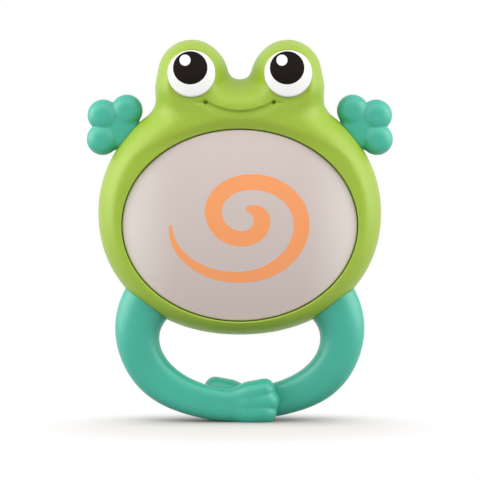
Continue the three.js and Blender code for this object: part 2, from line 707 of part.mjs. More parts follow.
function frontShell() {
  const outer = bodyHalf(0, true, OUTLINE_SIDES, EDGE_RINGS, FACE_RINGS);
  const cupShape = ovalShape(0, PANEL_Z, openHalfX + CUP_WALL, openHalfZ + CUP_WALL);
  const cup = plate(cupShape, -front, -floorBackDepth, OVAL_SIDES / 2);
  const cavity = cutBy(bodyHalf(-WALL, true, CAVITY_SIDES, CAVITY_EDGE_RINGS, CAVITY_RINGS), cup);
  const rebate = outlineBlock(-WALL / 2 + FIT / 2, -TONGUE_HEIGHT - FIT, PAST, CAVITY_SIDES);
  const bosses = shellScrewPlaces.map(frontBoss);
  const standoffs = boardScrewPlaces.map(({ x, z }) => {
    return barY(x, z, STANDOFF_RADIUS, -floorBackDepth - FLOOR_THICK / 2, -floorBackDepth + STANDOFF);
  });
  const recess = plate(ovalShape(0, PANEL_Z, openHalfX, openHalfZ), -front, -floorDepth, OVAL_SIDES / 2);
  const screwReach = tubeSeat + SEAT - SHELL_SCREW_LENGTH - PILOT_EXTRA;
  const boardScrewReach = -boardBackDepth + SEAT - BOARD_SCREW_LENGTH - PILOT_EXTRA / 2;
  const tapWindow = Math.hypot(TAP_HALF, TAP_HALF) + TAP_WINDOW_GAP;
  const holes = [
    ...shellScrewPlaces.map(({ x, z }) => barY(x, z, pilotRadius, screwReach, BOSS_Y + PAST, SMALL_SIDES)),
    ...boardScrewPlaces.map(({ x, z }) => barY(x, z, pilotRadius, boardScrewReach, 0, SMALL_SIDES)),
    ...postPlaces.map(({ x, z }) => barY(x, z, POST_RADIUS + FIT, -front, -floorBackDepth + PAST)),
    ...lampPlaces.map(({ x, z }) => barY(x, z, LAMP_FLANGE_RADIUS + LAMP_WINDOW_GAP, -front, 0)),
    barY(0, PANEL_Z, tapWindow, -front, 0),
  ];
  const eyeHoles = [EYE_X, -EYE_X].flatMap((x) => [
    eyeBar(x, EYE_RADIUS + FIT, -front, 0, EYE_SIDES),
    eyeBar(x, EYE_STEM_RADIUS + FIT, -PAST, WALL + PAST, BOSS_SIDES),
  ]);
  const hollow = cutBy(outer, cavity, rebate.subtract(cup));
  const built = cutBy(joined(hollow, ...bosses, ...standoffs), recess);
  return cutBy(built, ...holes, ...eyeHoles, ...smileCutters(), ...limbHoles);
}

// Rear shell

const bayHalfZ = 2 * CELL_RADIUS + 1.5 * BAY_PLAY;
const bayHalfX = (CELL_LENGTH + CONTACT_SPRING_LENGTH + 2 * CONTACT_THICK) / 2 + 2 * SEAT + SEAT / 2;
const cellOut = CELL_RADIUS + BAY_PLAY / 2;
const doorInside = BACK_DEPTH - DOOR_THICK;
const cellY = doorInside - BAY_PLAY - CELL_RADIUS;
const bayFloorY = cellY - CELL_RADIUS - BAY_PLAY;
const lugX = bayHalfX + DOOR_LEDGE + DOOR_LUG_OUT;
const lugPlaces = mirrored({ x: lugX, z: BAY_Z });
const doorSeat = doorInside - SEAT;

function doorSlab(grow, from, to) {
  const halfX = bayHalfX + DOOR_LEDGE + grow;
  const cover = roundedShape(0, BAY_Z, halfX, bayHalfZ + DOOR_LEDGE + grow, DOOR_CORNER + grow);
  const lugs = lugPlaces.map(({ x, z }) => barY(x, z, DOOR_LUG_RADIUS + grow, from, to, 2 * BOSS_SIDES));
  return joined(plate(cover, from, to, 2), ...lugs);
}

const speakerSeat = backInside - SEAT;
const rimY = speakerSeat - SPEAKER_RIM;
const retainerScrewPlaces = mirrored({ x: SPEAKER_RADIUS + FIT + RETAINER_EAR_RADIUS, z: SPEAKER_Z });

function grilleSlots() {
  return Array.from({ length: GRILLE_SLOTS }, (_, i) => {
    const z = ((i - (GRILLE_SLOTS - 1) / 2) * 2 * GRILLE_RADIUS) / GRILLE_SLOTS;
    const half = Math.sqrt(GRILLE_RADIUS ** 2 - z ** 2);
    const slot = roundedShape(0, SPEAKER_Z + z, half, GRILLE_SLOT_HALF, GRILLE_SLOT_HALF);
    return plate(slot, backInside - PAST, back, 1);
  });
}

const switchPlace = insetPlace(SWITCH_ANGLE, SWITCH_INSET);
const knobStartX = switchPlace.x - SWITCH_TRAVEL / 2;
const knobBaseY = backInside - FIT;
const switchTop = knobBaseY - KNOB_BASE_THICK - FIT;
const switchEarX = SWITCH_BODY_HALF_X + SWITCH_EAR_RADIUS;
const switchPins = [1, -1].map((side) => ({ x: switchPlace.x + side * switchEarX, z: switchPlace.z }));

function switchOpening() {
  const { x, z } = switchPlace;
  const halfX = KNOB_HALF_X + SWITCH_TRAVEL / 2 + FIT;
  const halfZ = KNOB_HALF_Z + FIT;
  const dish = roundedShape(x, z, halfX + DISH_MARGIN, halfZ + DISH_MARGIN, DISH_MARGIN);
  return [
    block(x - halfX, x + halfX, backInside - PAST, back, z - halfZ, z + halfZ),
    plate(dish, BACK_DEPTH - DISH_DEPTH, back, 2),
  ];
}

function rearShell() {
  const outer = bodyHalf(0, false, OUTLINE_SIDES, EDGE_RINGS, BACK_RINGS);
  const cavity = bodyHalf(-WALL, false, CAVITY_SIDES, CAVITY_EDGE_RINGS, CAVITY_RINGS);
  const tongue = cutBy(
    outlineBlock(-WALL / 2 - FIT / 2, -TONGUE_HEIGHT, TONGUE_HEIGHT, CAVITY_SIDES),
    outlineBlock(-WALL, -TONGUE_HEIGHT - PAST, TONGUE_HEIGHT + PAST, CAVITY_SIDES),
  );
  const tubes = shellScrewPlaces.map(({ x, z }) => {
    return barY(x, z, tubeRadius, BOSS_Y + SEAT, backDepth(x, z, -WALL) + FIT);
  });
  const bayOuter = doorSlab(FIT + BAY_WALL, bayFloorY - BAY_FLOOR, backInside + FIT);
  const speakerWall = cutBy(
    barY(0, SPEAKER_Z, SPEAKER_RADIUS + FIT + SPEAKER_WALL, rimY, backInside + FIT, SPEAKER_SIDES),
    barY(0, SPEAKER_Z, SPEAKER_RADIUS + FIT, rimY - PAST, backInside, SPEAKER_SIDES),
  );
  const speakerSpace = barY(0, SPEAKER_Z, SPEAKER_RADIUS + FIT, 0, back, SPEAKER_SIDES);
  const earBosses = retainerScrewPlaces.map(({ x, z }) => {
    return cutBy(barY(x, z, RETAINER_EAR_RADIUS, rimY, backInside + FIT), speakerSpace);
  });
  const pins = switchPins.flatMap(({ x, z }) => [
    barY(x, z, SWITCH_EAR_RADIUS, switchTop + SEAT, backInside + FIT),
    barY(x, z, SWITCH_PIN_RADIUS, switchTop - SWITCH_EAR_THICK - SWITCH_PIN_PAST, backInside, SMALL_SIDES),
  ]);
  const baySpace = block(-bayHalfX, bayHalfX, bayFloorY, back, BAY_Z - bayHalfZ, BAY_Z + bayHalfZ);
  const tailSlots = contactPlaces().map(({ x, z }) => {
    const halfX = CONTACT_THICK / 2 + FIT;
    const halfZ = CONTACT_TAIL_HALF + FIT;
    return block(x - halfX, x + halfX, bayFloorY - BAY_FLOOR - PAST, bayFloorY + PAST, z - halfZ, z + halfZ);
  });
  const doorScrewReach = doorSeat - DOOR_SCREW_LENGTH - PILOT_EXTRA;
  const holes = [
    ...shellScrewPlaces.flatMap(({ x, z }) => [
      barY(x, z, headHole, tubeSeat, back),
      barY(x, z, pilotRadius, 0, back, SMALL_SIDES),
    ]),
    ...lugPlaces.map(({ x, z }) => barY(x, z, pilotRadius, doorScrewReach, back, SMALL_SIDES)),
    ...retainerScrewPlaces.map(({ x, z }) => {
      const depth = rimY - RETAINER_THICK + RETAINER_SCREW_LENGTH + PILOT_EXTRA / 2;
      return barY(x, z, pilotRadius, 0, depth, SMALL_SIDES);
    }),
  ];
  const hollow = joined(cutBy(outer, cavity), tongue, ...tubes, bayOuter, speakerWall, ...earBosses, ...pins);
  const opened = cutBy(hollow, baySpace, doorSlab(FIT, doorSeat, back), ...tailSlots);
  return cutBy(opened, ...holes, ...grilleSlots(), ...switchOpening(), ...limbHoles);
}

// Tap panel

function dome(halfX, halfZ, edge, rise, base, round, sides, rings) {
  const oval = (share, depth, inset) => Array.from({ length: sides }, (_, i) => {
    const turn = (i / sides) * 2 * Math.PI;
    const x = (halfX - inset) * share * Math.cos(turn);
    return new THREE.Vector3(x, -depth, PANEL_Z + (halfZ - inset) * share * Math.sin(turn));
  });
  const edges = [0, 0.5, 1].map((share) => {
    const turn = (share * Math.PI) / 2;
    return oval(1, edge - round * (1 - Math.sin(turn)), round * (1 - Math.cos(turn)));
  });
  const crown = Array.from({ length: rings }, (_, k) => {
    const share = 1 - (k + 1) / (rings + 1);
    return oval(share, edge + rise * (1 - share ** 2), round);
  });
  const top = new THREE.Vector3(0, -edge - rise, PANEL_Z);
  const bottom = new THREE.Vector3(0, -base, PANEL_Z);
  return solidOf(loft([oval(1, base, 0), ...edges, ...crown], bottom, top));
}

function bellyPanel() {
  const base = panelEdgeDepth - PANEL_SKIRT;
  const crownFrom = (y) => {
    const edge = panelEdgeDepth;
    return dome(PANEL_HALF_WIDTH, PANEL_HALF_HEIGHT, edge, PANEL_RISE, y, PANEL_ROUND, OVAL_SIDES, 3);
  };
  const innerX = PANEL_HALF_WIDTH - PANEL_WALL;
  const innerZ = PANEL_HALF_HEIGHT - PANEL_WALL;
  const inside = panelEdgeDepth - PANEL_WALL;
  const below = base - PAST;
  const hollow = dome(innerX, innerZ, inside, PANEL_RISE, below, PANEL_ROUND / 2, OVAL_SIDES / 2, 2);
  const collarRadius = springRadius + SPRING_WIRE / 2 + COLLAR_WALL;
  const posts = postPlaces.flatMap(({ x, z }) => [
    barY(x, z, collarRadius, -front, -collarDepth),
    barY(x, z, POST_RADIUS, -front, -floorBackDepth),
  ]);
  const striker = barY(0, PANEL_Z, STRIKER_RADIUS, -front, -plungerDepth - FIT);
  const inner = joined(striker, ...posts).intersect(crownFrom(0));
  const pilots = postPlaces.map(({ x, z }) => {
    return barY(x, z, pilotRadius, -floorBackDepth - PANEL_SCREW_LENGTH - PILOT_EXTRA, 0, SMALL_SIDES);
  });
  return cutBy(joined(cutBy(crownFrom(base), hollow), inner), ...pilots);
}

// A coil about Y from y = 0 to its length: one unbroken tube, eight steps to a turn and five sides
function coil(radius, wire, length, turns) {
  const steps = Math.round(turns * 8);
  const rise = length - wire;
  const line = Array.from({ length: steps + 1 }, (_, i) => {
    const turn = (i / 8) * 2 * Math.PI;
    return new THREE.Vector3(radius * Math.cos(turn), wire / 2 + (rise * i) / steps, radius * Math.sin(turn));
  });
  const rings = line.map((centre) => Array.from({ length: 5 }, (_, k) => {
    const turn = (k / 5) * 2 * Math.PI;
    const out = 1 + ((wire / 2) * Math.cos(turn)) / radius;
    return new THREE.Vector3(centre.x * out, centre.y + (wire / 2) * Math.sin(turn), centre.z * out);
  }));
  let gap = Infinity;
  line.forEach((a, i) => line.slice(i + 6).forEach((b) => {
    gap = Math.min(gap, a.distanceTo(b) - wire);
  }));
  console.log(`coil of ${turns} turns: least gap to itself ${gap.toFixed(2)} mm`);
  return loft(rings, line[0], line[steps]);
}

// Screws, driven along -Y: the head's underside lies at y = 0
function screw(length, headRadius = SCREW_HEAD_RADIUS) {
  return revolved([
    [0, -length],
    [SCREW_RADIUS, SCREW_TIP - length],
    [SCREW_RADIUS, 0],
    [headRadius, 0],
    [headRadius, SCREW_HEAD_HEIGHT],
    [0, SCREW_HEAD_HEIGHT],
  ], SMALL_SIDES);
}

// Eyes: a domed white insert on a stem, with a black pupil let into it

function eyeBlank() {
  const bulge = (share) => [EYE_RADIUS * share, -EYE_EDGE - EYE_DOME * (1 - share ** 2)];
  const stem = WALL + EYE_STEM_PAST;
  return solidOf(revolved([
    [0, -EYE_EDGE - EYE_DOME],
    ...[0.4, 0.75, 0.93].map(bulge),
    [EYE_RADIUS, -EYE_EDGE],
    [EYE_RADIUS, 0],
    [EYE_STEM_RADIUS, 0],
    [EYE_STEM_RADIUS, stem],
    [0, stem],
  ], EYE_SIDES));
}

function eyeWhite() {
  const pocket = barY(PUPIL_X, PUPIL_UP, PUPIL_RADIUS + PUPIL_GAP, -front, -PUPIL_FLOOR, EYE_SIDES);
  return cutBy(eyeBlank(), pocket);
}

function pupil() {
  const disc = barY(PUPIL_X, PUPIL_UP, PUPIL_RADIUS, -front, -PUPIL_FLOOR - SEAT, EYE_SIDES);
  return eyeBlank().intersect(disc);
}

// Soft hands and legs, cut to lie against the shells

const bodyClear = joined(
  bodyHalf(FIT, true, OUTLINE_SIDES, EDGE_RINGS, FACE_RINGS),
  bodyHalf(FIT, false, OUTLINE_SIDES, EDGE_RINGS, BACK_RINGS),
);

function hand() {
  const finger = (out, side) => {
    return ball(handPoint(out, side), FINGER_RADIUS, FINGER_HALF_DEPTH, FINGER_RADIUS, 10, 6);
  };
  const fingers = [
    finger(FINGER_OUT, 0),
    finger(SIDE_FINGER_OUT, SIDE_FINGER_SPREAD),
    finger(SIDE_FINGER_OUT, -SIDE_FINGER_SPREAD),
  ];
  const palm = ball(handPoint(PALM_OUT, 0), PALM_RADIUS, PALM_HALF_DEPTH, PALM_RADIUS, 10, 6);
  const flangeOut = -WALL - HAND_FLANGE_GAP;
  const stem = solidOf(handBar(HAND_STEM_RADIUS, flangeOut - HAND_FLANGE_THICK / 2, PALM_OUT));
  const flange = solidOf(handBar(HAND_FLANGE_RADIUS, flangeOut - HAND_FLANGE_THICK, flangeOut));
  return joined(cutBy(joined(palm, ...fingers), bodyClear), stem, flange);
}

const ease = (from, to, value) => THREE.MathUtils.smoothstep(value, from, to);

function legSweep() {
  const steps = 16;
  const rings = Array.from({ length: steps + 1 }, (_, i) => {
    const turn = lerp(LEG_START_ANGLE, LEG_END_ANGLE, i / steps);
    const angle = degrees(turn);
    const along = loopAlong(angle);
    const toAnkle = clamp((turn - LEG_ROOT_ANGLE) / (270 - LEG_ROOT_ANGLE), 0, 1);
    const foot = ease(LEG_CROSS_END, LEG_END_ANGLE, turn);
    const width = lerp(LEG_ANKLE_WIDTH, LEG_ROOT_WIDTH, (1 - toAnkle) ** 2);
    const depth = lerp(LEG_ROOT_DEPTH, LEG_ANKLE_DEPTH, ease(LEG_ROOT_ANGLE, LEG_CROSS_END, turn));
    const centre = loopCentre(angle);
    centre.y = -LEG_CROSS * ease(LEG_CROSS_START, LEG_CROSS_END, turn);
    centre.z += FOOT_LIFT * foot;
    const across = new THREE.Vector3(-along.z, 0, along.x);
    return sectionRing(centre, across, lerp(width, FOOT_HEIGHT, foot), depth, 10);
  });
  return closedLoft(rings);
}

function toes() {
  return [-1, 0, 1].map((place) => {
    const end = TOE_END_X + (place === 0 ? TOE_LEAD : 0);
    const centre = new THREE.Vector3(end - TOE_HALF_LENGTH, -LEG_CROSS, TOE_Z + place * TOE_PITCH);
    const skin = new THREE.SphereGeometry(1, 8, 6).rotateZ(Math.PI / 2);
    const toe = skin.scale(TOE_HALF_LENGTH, TOE_HALF_DEPTH, TOE_HALF_HEIGHT);
    return toe.translate(centre.x, centre.y, centre.z);
  });
}

function legLoop() {
  const pieces = [legSweep(), ...toes()].flatMap((piece) => [solidOf(piece), solidOf(turnedRound(piece))]);
  const reachX = LOOP_HALF_WIDTH + LEG_ROOT_WIDTH;
  const ground = block(-reachX, reachX, -front, back, -LEG_ROOT_WIDTH, 0);
  const flangeOut = -WALL - LEG_FLANGE_GAP;
  const anchors = [
    rootRun(flangeOut - LEG_FLANGE_THICK / 2, NECK_IN_LEG, NECK_WIDTH, NECK_DEPTH),
    rootRun(flangeOut - LEG_FLANGE_THICK, flangeOut, LEG_FLANGE_WIDTH, LEG_FLANGE_DEPTH),
  ].flatMap(bothSides);
  return joined(cutBy(joined(pieces[0], ...pieces.slice(1)), bodyClear, ground), ...anchors);
}

// Circuit board and what stands on it: front faces at y = 0

function lamp() {
  const tip = LAMP_HEIGHT - LAMP_RADIUS;
  return revolved([
    [0, -LAMP_HEIGHT],
    [LAMP_RADIUS * Math.SQRT1_2, -tip - LAMP_RADIUS * Math.SQRT1_2],
    [LAMP_RADIUS, -tip],
    [LAMP_RADIUS, -LAMP_FLANGE],
    [LAMP_FLANGE_RADIUS, -LAMP_FLANGE],
    [LAMP_FLANGE_RADIUS, 0],
    [0, 0],
  ], SMALL_SIDES);
}

function circuitBoard() {
  const board = plate(roundedShape(0, 0, BOARD_HALF_X, BOARD_HALF_Z, BOARD_CORNER), 0, BOARD_THICK, 2);
  const holes = [BOARD_SCREW_X, -BOARD_SCREW_X].map((x) => {
    return barY(x, 0, pilotRadius, -PAST, BOARD_THICK + PAST, SMALL_SIDES);
  });
  return cutBy(board, ...holes);
}

function soundChip() {
  const turns = [1, 2, 3].map((k) => (k / 3) * (Math.PI / 2));
  const crown = turns.map((turn) => [CHIP_RADIUS * Math.cos(turn), CHIP_HEIGHT * Math.sin(turn)]);
  crown[2][0] = 0;
  return revolved([[0, 0], [CHIP_RADIUS, 0], ...crown], BOSS_SIDES);
}

function tapSwitchBase() {
  const base = block(-TAP_HALF, TAP_HALF, -TAP_HEIGHT, 0, -TAP_HALF, TAP_HALF);
  return cutBy(base, barY(0, 0, PLUNGER_RADIUS + FIT, -TAP_HEIGHT - PAST, -TAP_FLOOR));
}

function tapSwitchPlunger() {
  const top = TAP_HEIGHT + PANEL_TRAVEL + PLUNGER_LEFT;
  return barY(0, 0, PLUNGER_RADIUS, -top, -TAP_HEIGHT + PLUNGER_ROOT);
}

// Speaker: its rim faces +Y, towards the grille

function speakerBasket() {
  const wall = SPEAKER_RADIUS - SPEAKER_NECK_RADIUS;
  const floor = SPEAKER_HEIGHT - CONE_THICK * 2;
  return revolved([
    [0, -SPEAKER_HEIGHT],
    [SPEAKER_BACK_RADIUS, -SPEAKER_HEIGHT],
    [SPEAKER_NECK_RADIUS, -SPEAKER_RIM - wall],
    [SPEAKER_NECK_RADIUS, -SPEAKER_RIM],
    [SPEAKER_RADIUS, -SPEAKER_RIM],
    [SPEAKER_RADIUS, 0],
    [CONE_RADIUS + FIT, 0],
    [CONE_RADIUS + FIT, -SPEAKER_RIM],
    [CONE_CAP_RADIUS, -floor],
    [0, -floor],
  ], SPEAKER_SIDES);
}

function speakerCone() {
  const low = CONE_DEPTH;
  return revolved([
    [0, -low + CONE_THICK],
    [CONE_CAP_RADIUS, -low],
    [CONE_RADIUS, -CONE_THICK - SEAT],
    [CONE_RADIUS, -SEAT],
    [CONE_CAP_RADIUS, -low + CONE_THICK + SEAT],
    [0, -low / 2],
  ], SPEAKER_SIDES);
}

function speakerRetainer() {
  const through = -RETAINER_THICK - PAST;
  const ring = barY(0, 0, SPEAKER_RADIUS + FIT + SPEAKER_WALL, -RETAINER_THICK, 0, SPEAKER_SIDES);
  const ears = retainerScrewPlaces.map(({ x }) => barY(x, 0, RETAINER_EAR_RADIUS, -RETAINER_THICK, 0));
  const holes = retainerScrewPlaces.map(({ x }) => barY(x, 0, pilotRadius, through, PAST, SMALL_SIDES));
  const neck = barY(0, 0, SPEAKER_NECK_RADIUS + FIT, through, PAST, SPEAKER_SIDES);
  return cutBy(joined(ring, ...ears), neck, ...holes);
}

// Power switch: the knob's base slides between the rear wall and the switch body

function switchBody() {
  const halfX = SWITCH_BODY_HALF_X;
  const halfZ = SWITCH_BODY_HALF_Z;
  const body = block(-halfX, halfX, switchTop - SWITCH_BODY_HEIGHT, switchTop, -halfZ, halfZ);
  const ear = roundedShape(0, 0, switchEarX + SWITCH_EAR_RADIUS, SWITCH_EAR_RADIUS, SWITCH_EAR_RADIUS);
  const ears = plate(ear, switchTop - SWITCH_EAR_THICK, switchTop, 2);
  const holes = [1, -1].map((side) => {
    return barY(side * switchEarX, 0, SWITCH_PIN_RADIUS + FIT, 0, back, SMALL_SIDES);
  });
  return cutBy(joined(body, ears), ...holes);
}

function switchKnob() {
  const top = BACK_DEPTH - KNOB_BELOW_BACK;
  const halfX = KNOB_BASE_HALF_X;
  const halfZ = KNOB_BASE_HALF_Z;
  const base = block(-halfX, halfX, knobBaseY - KNOB_BASE_THICK, knobBaseY, -halfZ, halfZ);
  return base.add(block(-KNOB_HALF_X, KNOB_HALF_X, knobBaseY - FIT, top, -KNOB_HALF_Z, KNOB_HALF_Z));
}

// Battery bay contents and door

function cell() {
  const shoulder = CELL_LENGTH / 2 - CELL_NUB;
  const skin = revolved([
    [0, -CELL_LENGTH / 2],
    [CELL_RADIUS, -CELL_LENGTH / 2],
    [CELL_RADIUS, shoulder],
    [CELL_NUB_RADIUS, shoulder],
    [CELL_NUB_RADIUS, CELL_LENGTH / 2],
    [0, CELL_LENGTH / 2],
  ], 12);
  return skin.rotateZ(-Math.PI / 2);
}

// The contacts' middles: the bridge on the left, then plus (upper) and minus (lower) on the right
function contactPlaces() {
  const x = bayHalfX - SEAT - CONTACT_THICK / 2;
  return [{ x: -x, z: BAY_Z }, { x, z: BAY_Z + cellOut }, { x, z: BAY_Z - cellOut }];
}

function contact(halfWidth) {
  const halfX = CONTACT_THICK / 2;
  const top = cellY + CONTACT_HALF_WIDTH;
  const tail = bayFloorY - BAY_FLOOR - CONTACT_TAIL_PAST;
  const face = block(-halfX, halfX, bayFloorY + SEAT, top, -halfWidth, halfWidth);
  return face.add(block(-halfX, halfX, tail, cellY, -CONTACT_TAIL_HALF, CONTACT_TAIL_HALF));
}

function batteryDoor() {
  const slab = doorSlab(0, doorInside, BACK_DEPTH);
  const holes = lugPlaces.flatMap(({ x, z }) => [
    barY(x, z, pilotRadius, 0, back, SMALL_SIDES),
    barY(x, z, headHole, BACK_DEPTH - DOOR_SCREW_SINK, back),
  ]);
  return cutBy(slab, ...holes);
}

// A lead through a few points, six-sided
function lead(points) {
  const path = new THREE.CatmullRomCurve3(points.map((point) => new THREE.Vector3(...point)));
  const section = new THREE.Shape().absarc(0, 0, LEAD_RADIUS, 0, 2 * Math.PI);
  return new THREE.ExtrudeGeometry(section, { steps: 10, extrudePath: path, curveSegments: 2 });
}

function speakerLead(side) {
  const boardY = -boardBackDepth + LEAD_LAND + LEAD_RADIUS;
  const top = PANEL_Z + BOARD_HALF_Z;
  const magnetY = speakerSeat - SPEAKER_HEIGHT - SEAT - MAGNET_HEIGHT;
  const x = side * MAGNET_RADIUS / 2;
  return lead([
    [x, boardY, top - STANDOFF_RADIUS],
    [x, boardY + LEAD_RADIUS, top + STANDOFF_RADIUS],
    [x, (boardY + magnetY) / 2, SPEAKER_Z - MAGNET_RADIUS / 2],
    [x, magnetY - LEAD_LAND - LEAD_RADIUS, SPEAKER_Z],
  ]);
}

function batteryLead(place, boardZ) {
  const boardY = -boardBackDepth + LEAD_LAND + LEAD_RADIUS;
  const tailY = bayFloorY - BAY_FLOOR - CONTACT_TAIL_PAST - LEAD_LAND;
  const edgeX = BOARD_HALF_X - STANDOFF_RADIUS;
  return lead([
    [place.x, tailY, place.z],
    [place.x - LEAD_RADIUS, (tailY + boardY) / 2, (place.z + boardZ) / 2],
    [(place.x + edgeX) / 2, boardY + LEAD_RADIUS, boardZ],
    [edgeX - STANDOFF_RADIUS, boardY, boardZ],
  ]);
}

// Materials

const look = (colour, roughness, metalness = 0) => {
  return () => new THREE.MeshStandardMaterial({ color: colour, roughness, metalness });
};
const green = look("#a6cf45", 0.3);
const milky = look("#e6dad4", 0.4);
const white = look("#f4f3f1", 0.25);
const black = look("#1d1613", 0.2);
const teal = look("#46b79c", 0.5);
const steel = look("#b9bcc0", 0.3, 1);
const brass = look("#c9b27a", 0.35, 1);
const boardGreen = look("#2d6b45", 0.6);
const darkPlastic = look("#2b2b2e", 0.5);
const redLead = look("#b5352c", 0.5);
const blackLead = look("#26262a", 0.5);
const clear = look("#f3e7c0", 0.15);

// Assembly

function mesh(name, shape, material, x = 0, y = 0, z = 0) {
  const skin = shape.isBufferGeometry ? shape : skinOf(shape);
  const piece = new THREE.Mesh(skin, material());
  piece.name = name;
  piece.position.set(x, y, z);
  return piece;
}

function group(...pieces) {
  const set = new THREE.Group();
  set.add(...pieces);
  return set;
}

const casing = group(
  mesh("front_shell", frontShell(), green),
  mesh("rear_shell", rearShell(), green),
  ...shellScrewPlaces.map(({ x, z }, i) => {
    return mesh(`shell_screw_${i + 1}`, screw(SHELL_SCREW_LENGTH), steel, x, tubeSeat + SEAT, z);
  }),
);

const face = group(...["left", "right"].map((side, i) => {
  const eye = group(
    mesh(`${side}_eye`, eyeWhite(), white, 0, -FIT, 0),
    mesh(`${side}_pupil`, pupil(), black, 0, -FIT, 0),
  );
  eye.position.set(i === 0 ? -EYE_X : EYE_X, -eyeSeatDepth, EYE_Z);
  eye.rotation.x = -degrees(EYE_TILT);
  return eye;
}));

const leftHand = skinOf(hand());
const limbs = group(
  mesh("left_hand", leftHand, teal),
  mesh("right_hand", mirroredInX(leftHand), teal),
  mesh("leg_loop", legLoop(), teal),
);

const panelSpring = coil(springRadius, SPRING_WIRE, SPRING_LENGTH, SPRING_TURNS);
const panelScrew = screw(PANEL_SCREW_LENGTH, WASHER_RADIUS);
const drum = group(
  mesh("belly_panel", bellyPanel(), milky),
  ...postPlaces.flatMap(({ x, z }, i) => [
    mesh(`panel_spring_${i + 1}`, panelSpring, steel, x, -collarDepth + SEAT, z),
    mesh(`panel_screw_${i + 1}`, panelScrew, steel, x, -floorBackDepth + SEAT, z),
  ]),
);

const electronics = group(
  mesh("circuit_board", circuitBoard(), boardGreen),
  mesh("tap_switch_base", tapSwitchBase(), darkPlastic, 0, -SEAT, 0),
  mesh("tap_switch_plunger", tapSwitchPlunger(), black, 0, -SEAT, 0),
  mesh("sound_chip", soundChip(), darkPlastic, CHIP_X, BOARD_THICK + SEAT, CHIP_Z),
  ...lampPlaces.map(({ x, z }, i) => mesh(`lamp_${i + 1}`, lamp(), clear, x, -SEAT, z - PANEL_Z)),
  ...boardScrewPlaces.map(({ x, z }, i) => {
    return mesh(`board_screw_${i + 1}`, screw(BOARD_SCREW_LENGTH), steel, x, BOARD_THICK + SEAT, z - PANEL_Z);
  }),
);
electronics.position.set(0, -boardDepth, PANEL_Z);

const magnet = barY(0, 0, MAGNET_RADIUS, -MAGNET_HEIGHT, 0, SPEAKER_SIDES);
const speaker = group(
  mesh("speaker_basket", speakerBasket(), darkPlastic),
  mesh("speaker_cone", speakerCone(), blackLead),
  mesh("speaker_magnet", magnet, steel, 0, -SPEAKER_HEIGHT - SEAT, 0),
  mesh("speaker_retainer", speakerRetainer(), darkPlastic, 0, -SPEAKER_RIM - SEAT, 0),
);
speaker.position.set(0, speakerSeat, SPEAKER_Z);
retainerScrewPlaces.forEach(({ x }, i) => {
  const y = -SPEAKER_RIM - 2 * SEAT - RETAINER_THICK;
  const piece = mesh(`retainer_screw_${i + 1}`, turnedRound(screw(RETAINER_SCREW_LENGTH)), steel, x, y, 0);
  speaker.add(piece);
});

const power = group(
  mesh("power_switch_body", switchBody(), darkPlastic, switchPlace.x, 0, switchPlace.z),
  mesh("power_switch_knob", switchKnob(), white, knobStartX, 0, switchPlace.z),
);

const [bridgePlace, plusPlace, minusPlace] = contactPlaces();
const cellShift = CONTACT_SPRING_LENGTH / 2;
const springEnd = bayHalfX - 2 * SEAT - CONTACT_THICK;
const contactSpring = (turn) => {
  const length = CONTACT_SPRING_LENGTH - 2 * SEAT;
  return coil(CONTACT_SPRING_RADIUS, SPRING_WIRE, length, SPRING_TURNS).rotateZ(turn);
};
const battery = group(
  mesh("battery_cell_1", cell(), look("#3c5a86", 0.35), cellShift, cellY, BAY_Z + cellOut),
  mesh("battery_cell_2", turnedRound(cell()), look("#3c5a86", 0.35), -cellShift, cellY, BAY_Z - cellOut),
  mesh("bridge_contact", contact(cellOut + CONTACT_HALF_WIDTH), brass, bridgePlace.x, 0, bridgePlace.z),
  mesh("plus_contact", contact(CONTACT_HALF_WIDTH), brass, plusPlace.x, 0, plusPlace.z),
  mesh("minus_contact", contact(CONTACT_HALF_WIDTH), brass, minusPlace.x, 0, minusPlace.z),
  mesh("contact_spring_1", contactSpring(-Math.PI / 2), steel, -springEnd, cellY, BAY_Z + cellOut),
  mesh("contact_spring_2", contactSpring(Math.PI / 2), steel, springEnd, cellY, BAY_Z - cellOut),
  mesh("battery_door", batteryDoor(), green),
  ...lugPlaces.map(({ x, z }, i) => {
    const seat = BACK_DEPTH - DOOR_SCREW_SINK + SEAT;
    return mesh(`door_screw_${i + 1}`, screw(DOOR_SCREW_LENGTH), steel, x, seat, z);
  }),
);

const leads = group(
  mesh("speaker_lead_1", speakerLead(-1), redLead),
  mesh("speaker_lead_2", speakerLead(1), blackLead),
  mesh("battery_lead_1", batteryLead(plusPlace, PANEL_Z - BOARD_HALF_Z / 2), redLead),
  mesh("battery_lead_2", batteryLead(minusPlace, PANEL_Z - BOARD_HALF_Z + STANDOFF_RADIUS), blackLead),
);

export default group(casing, face, limbs, drum, electronics, speaker, power, battery, leads);
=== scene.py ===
"""Looks of a frog tap drum for a baby: gloss green shells, a milky belly panel with a printed spiral,
soft teething hands and a soft loop of crossed legs.

Shapes are worked out in millimetres and made in metres."""

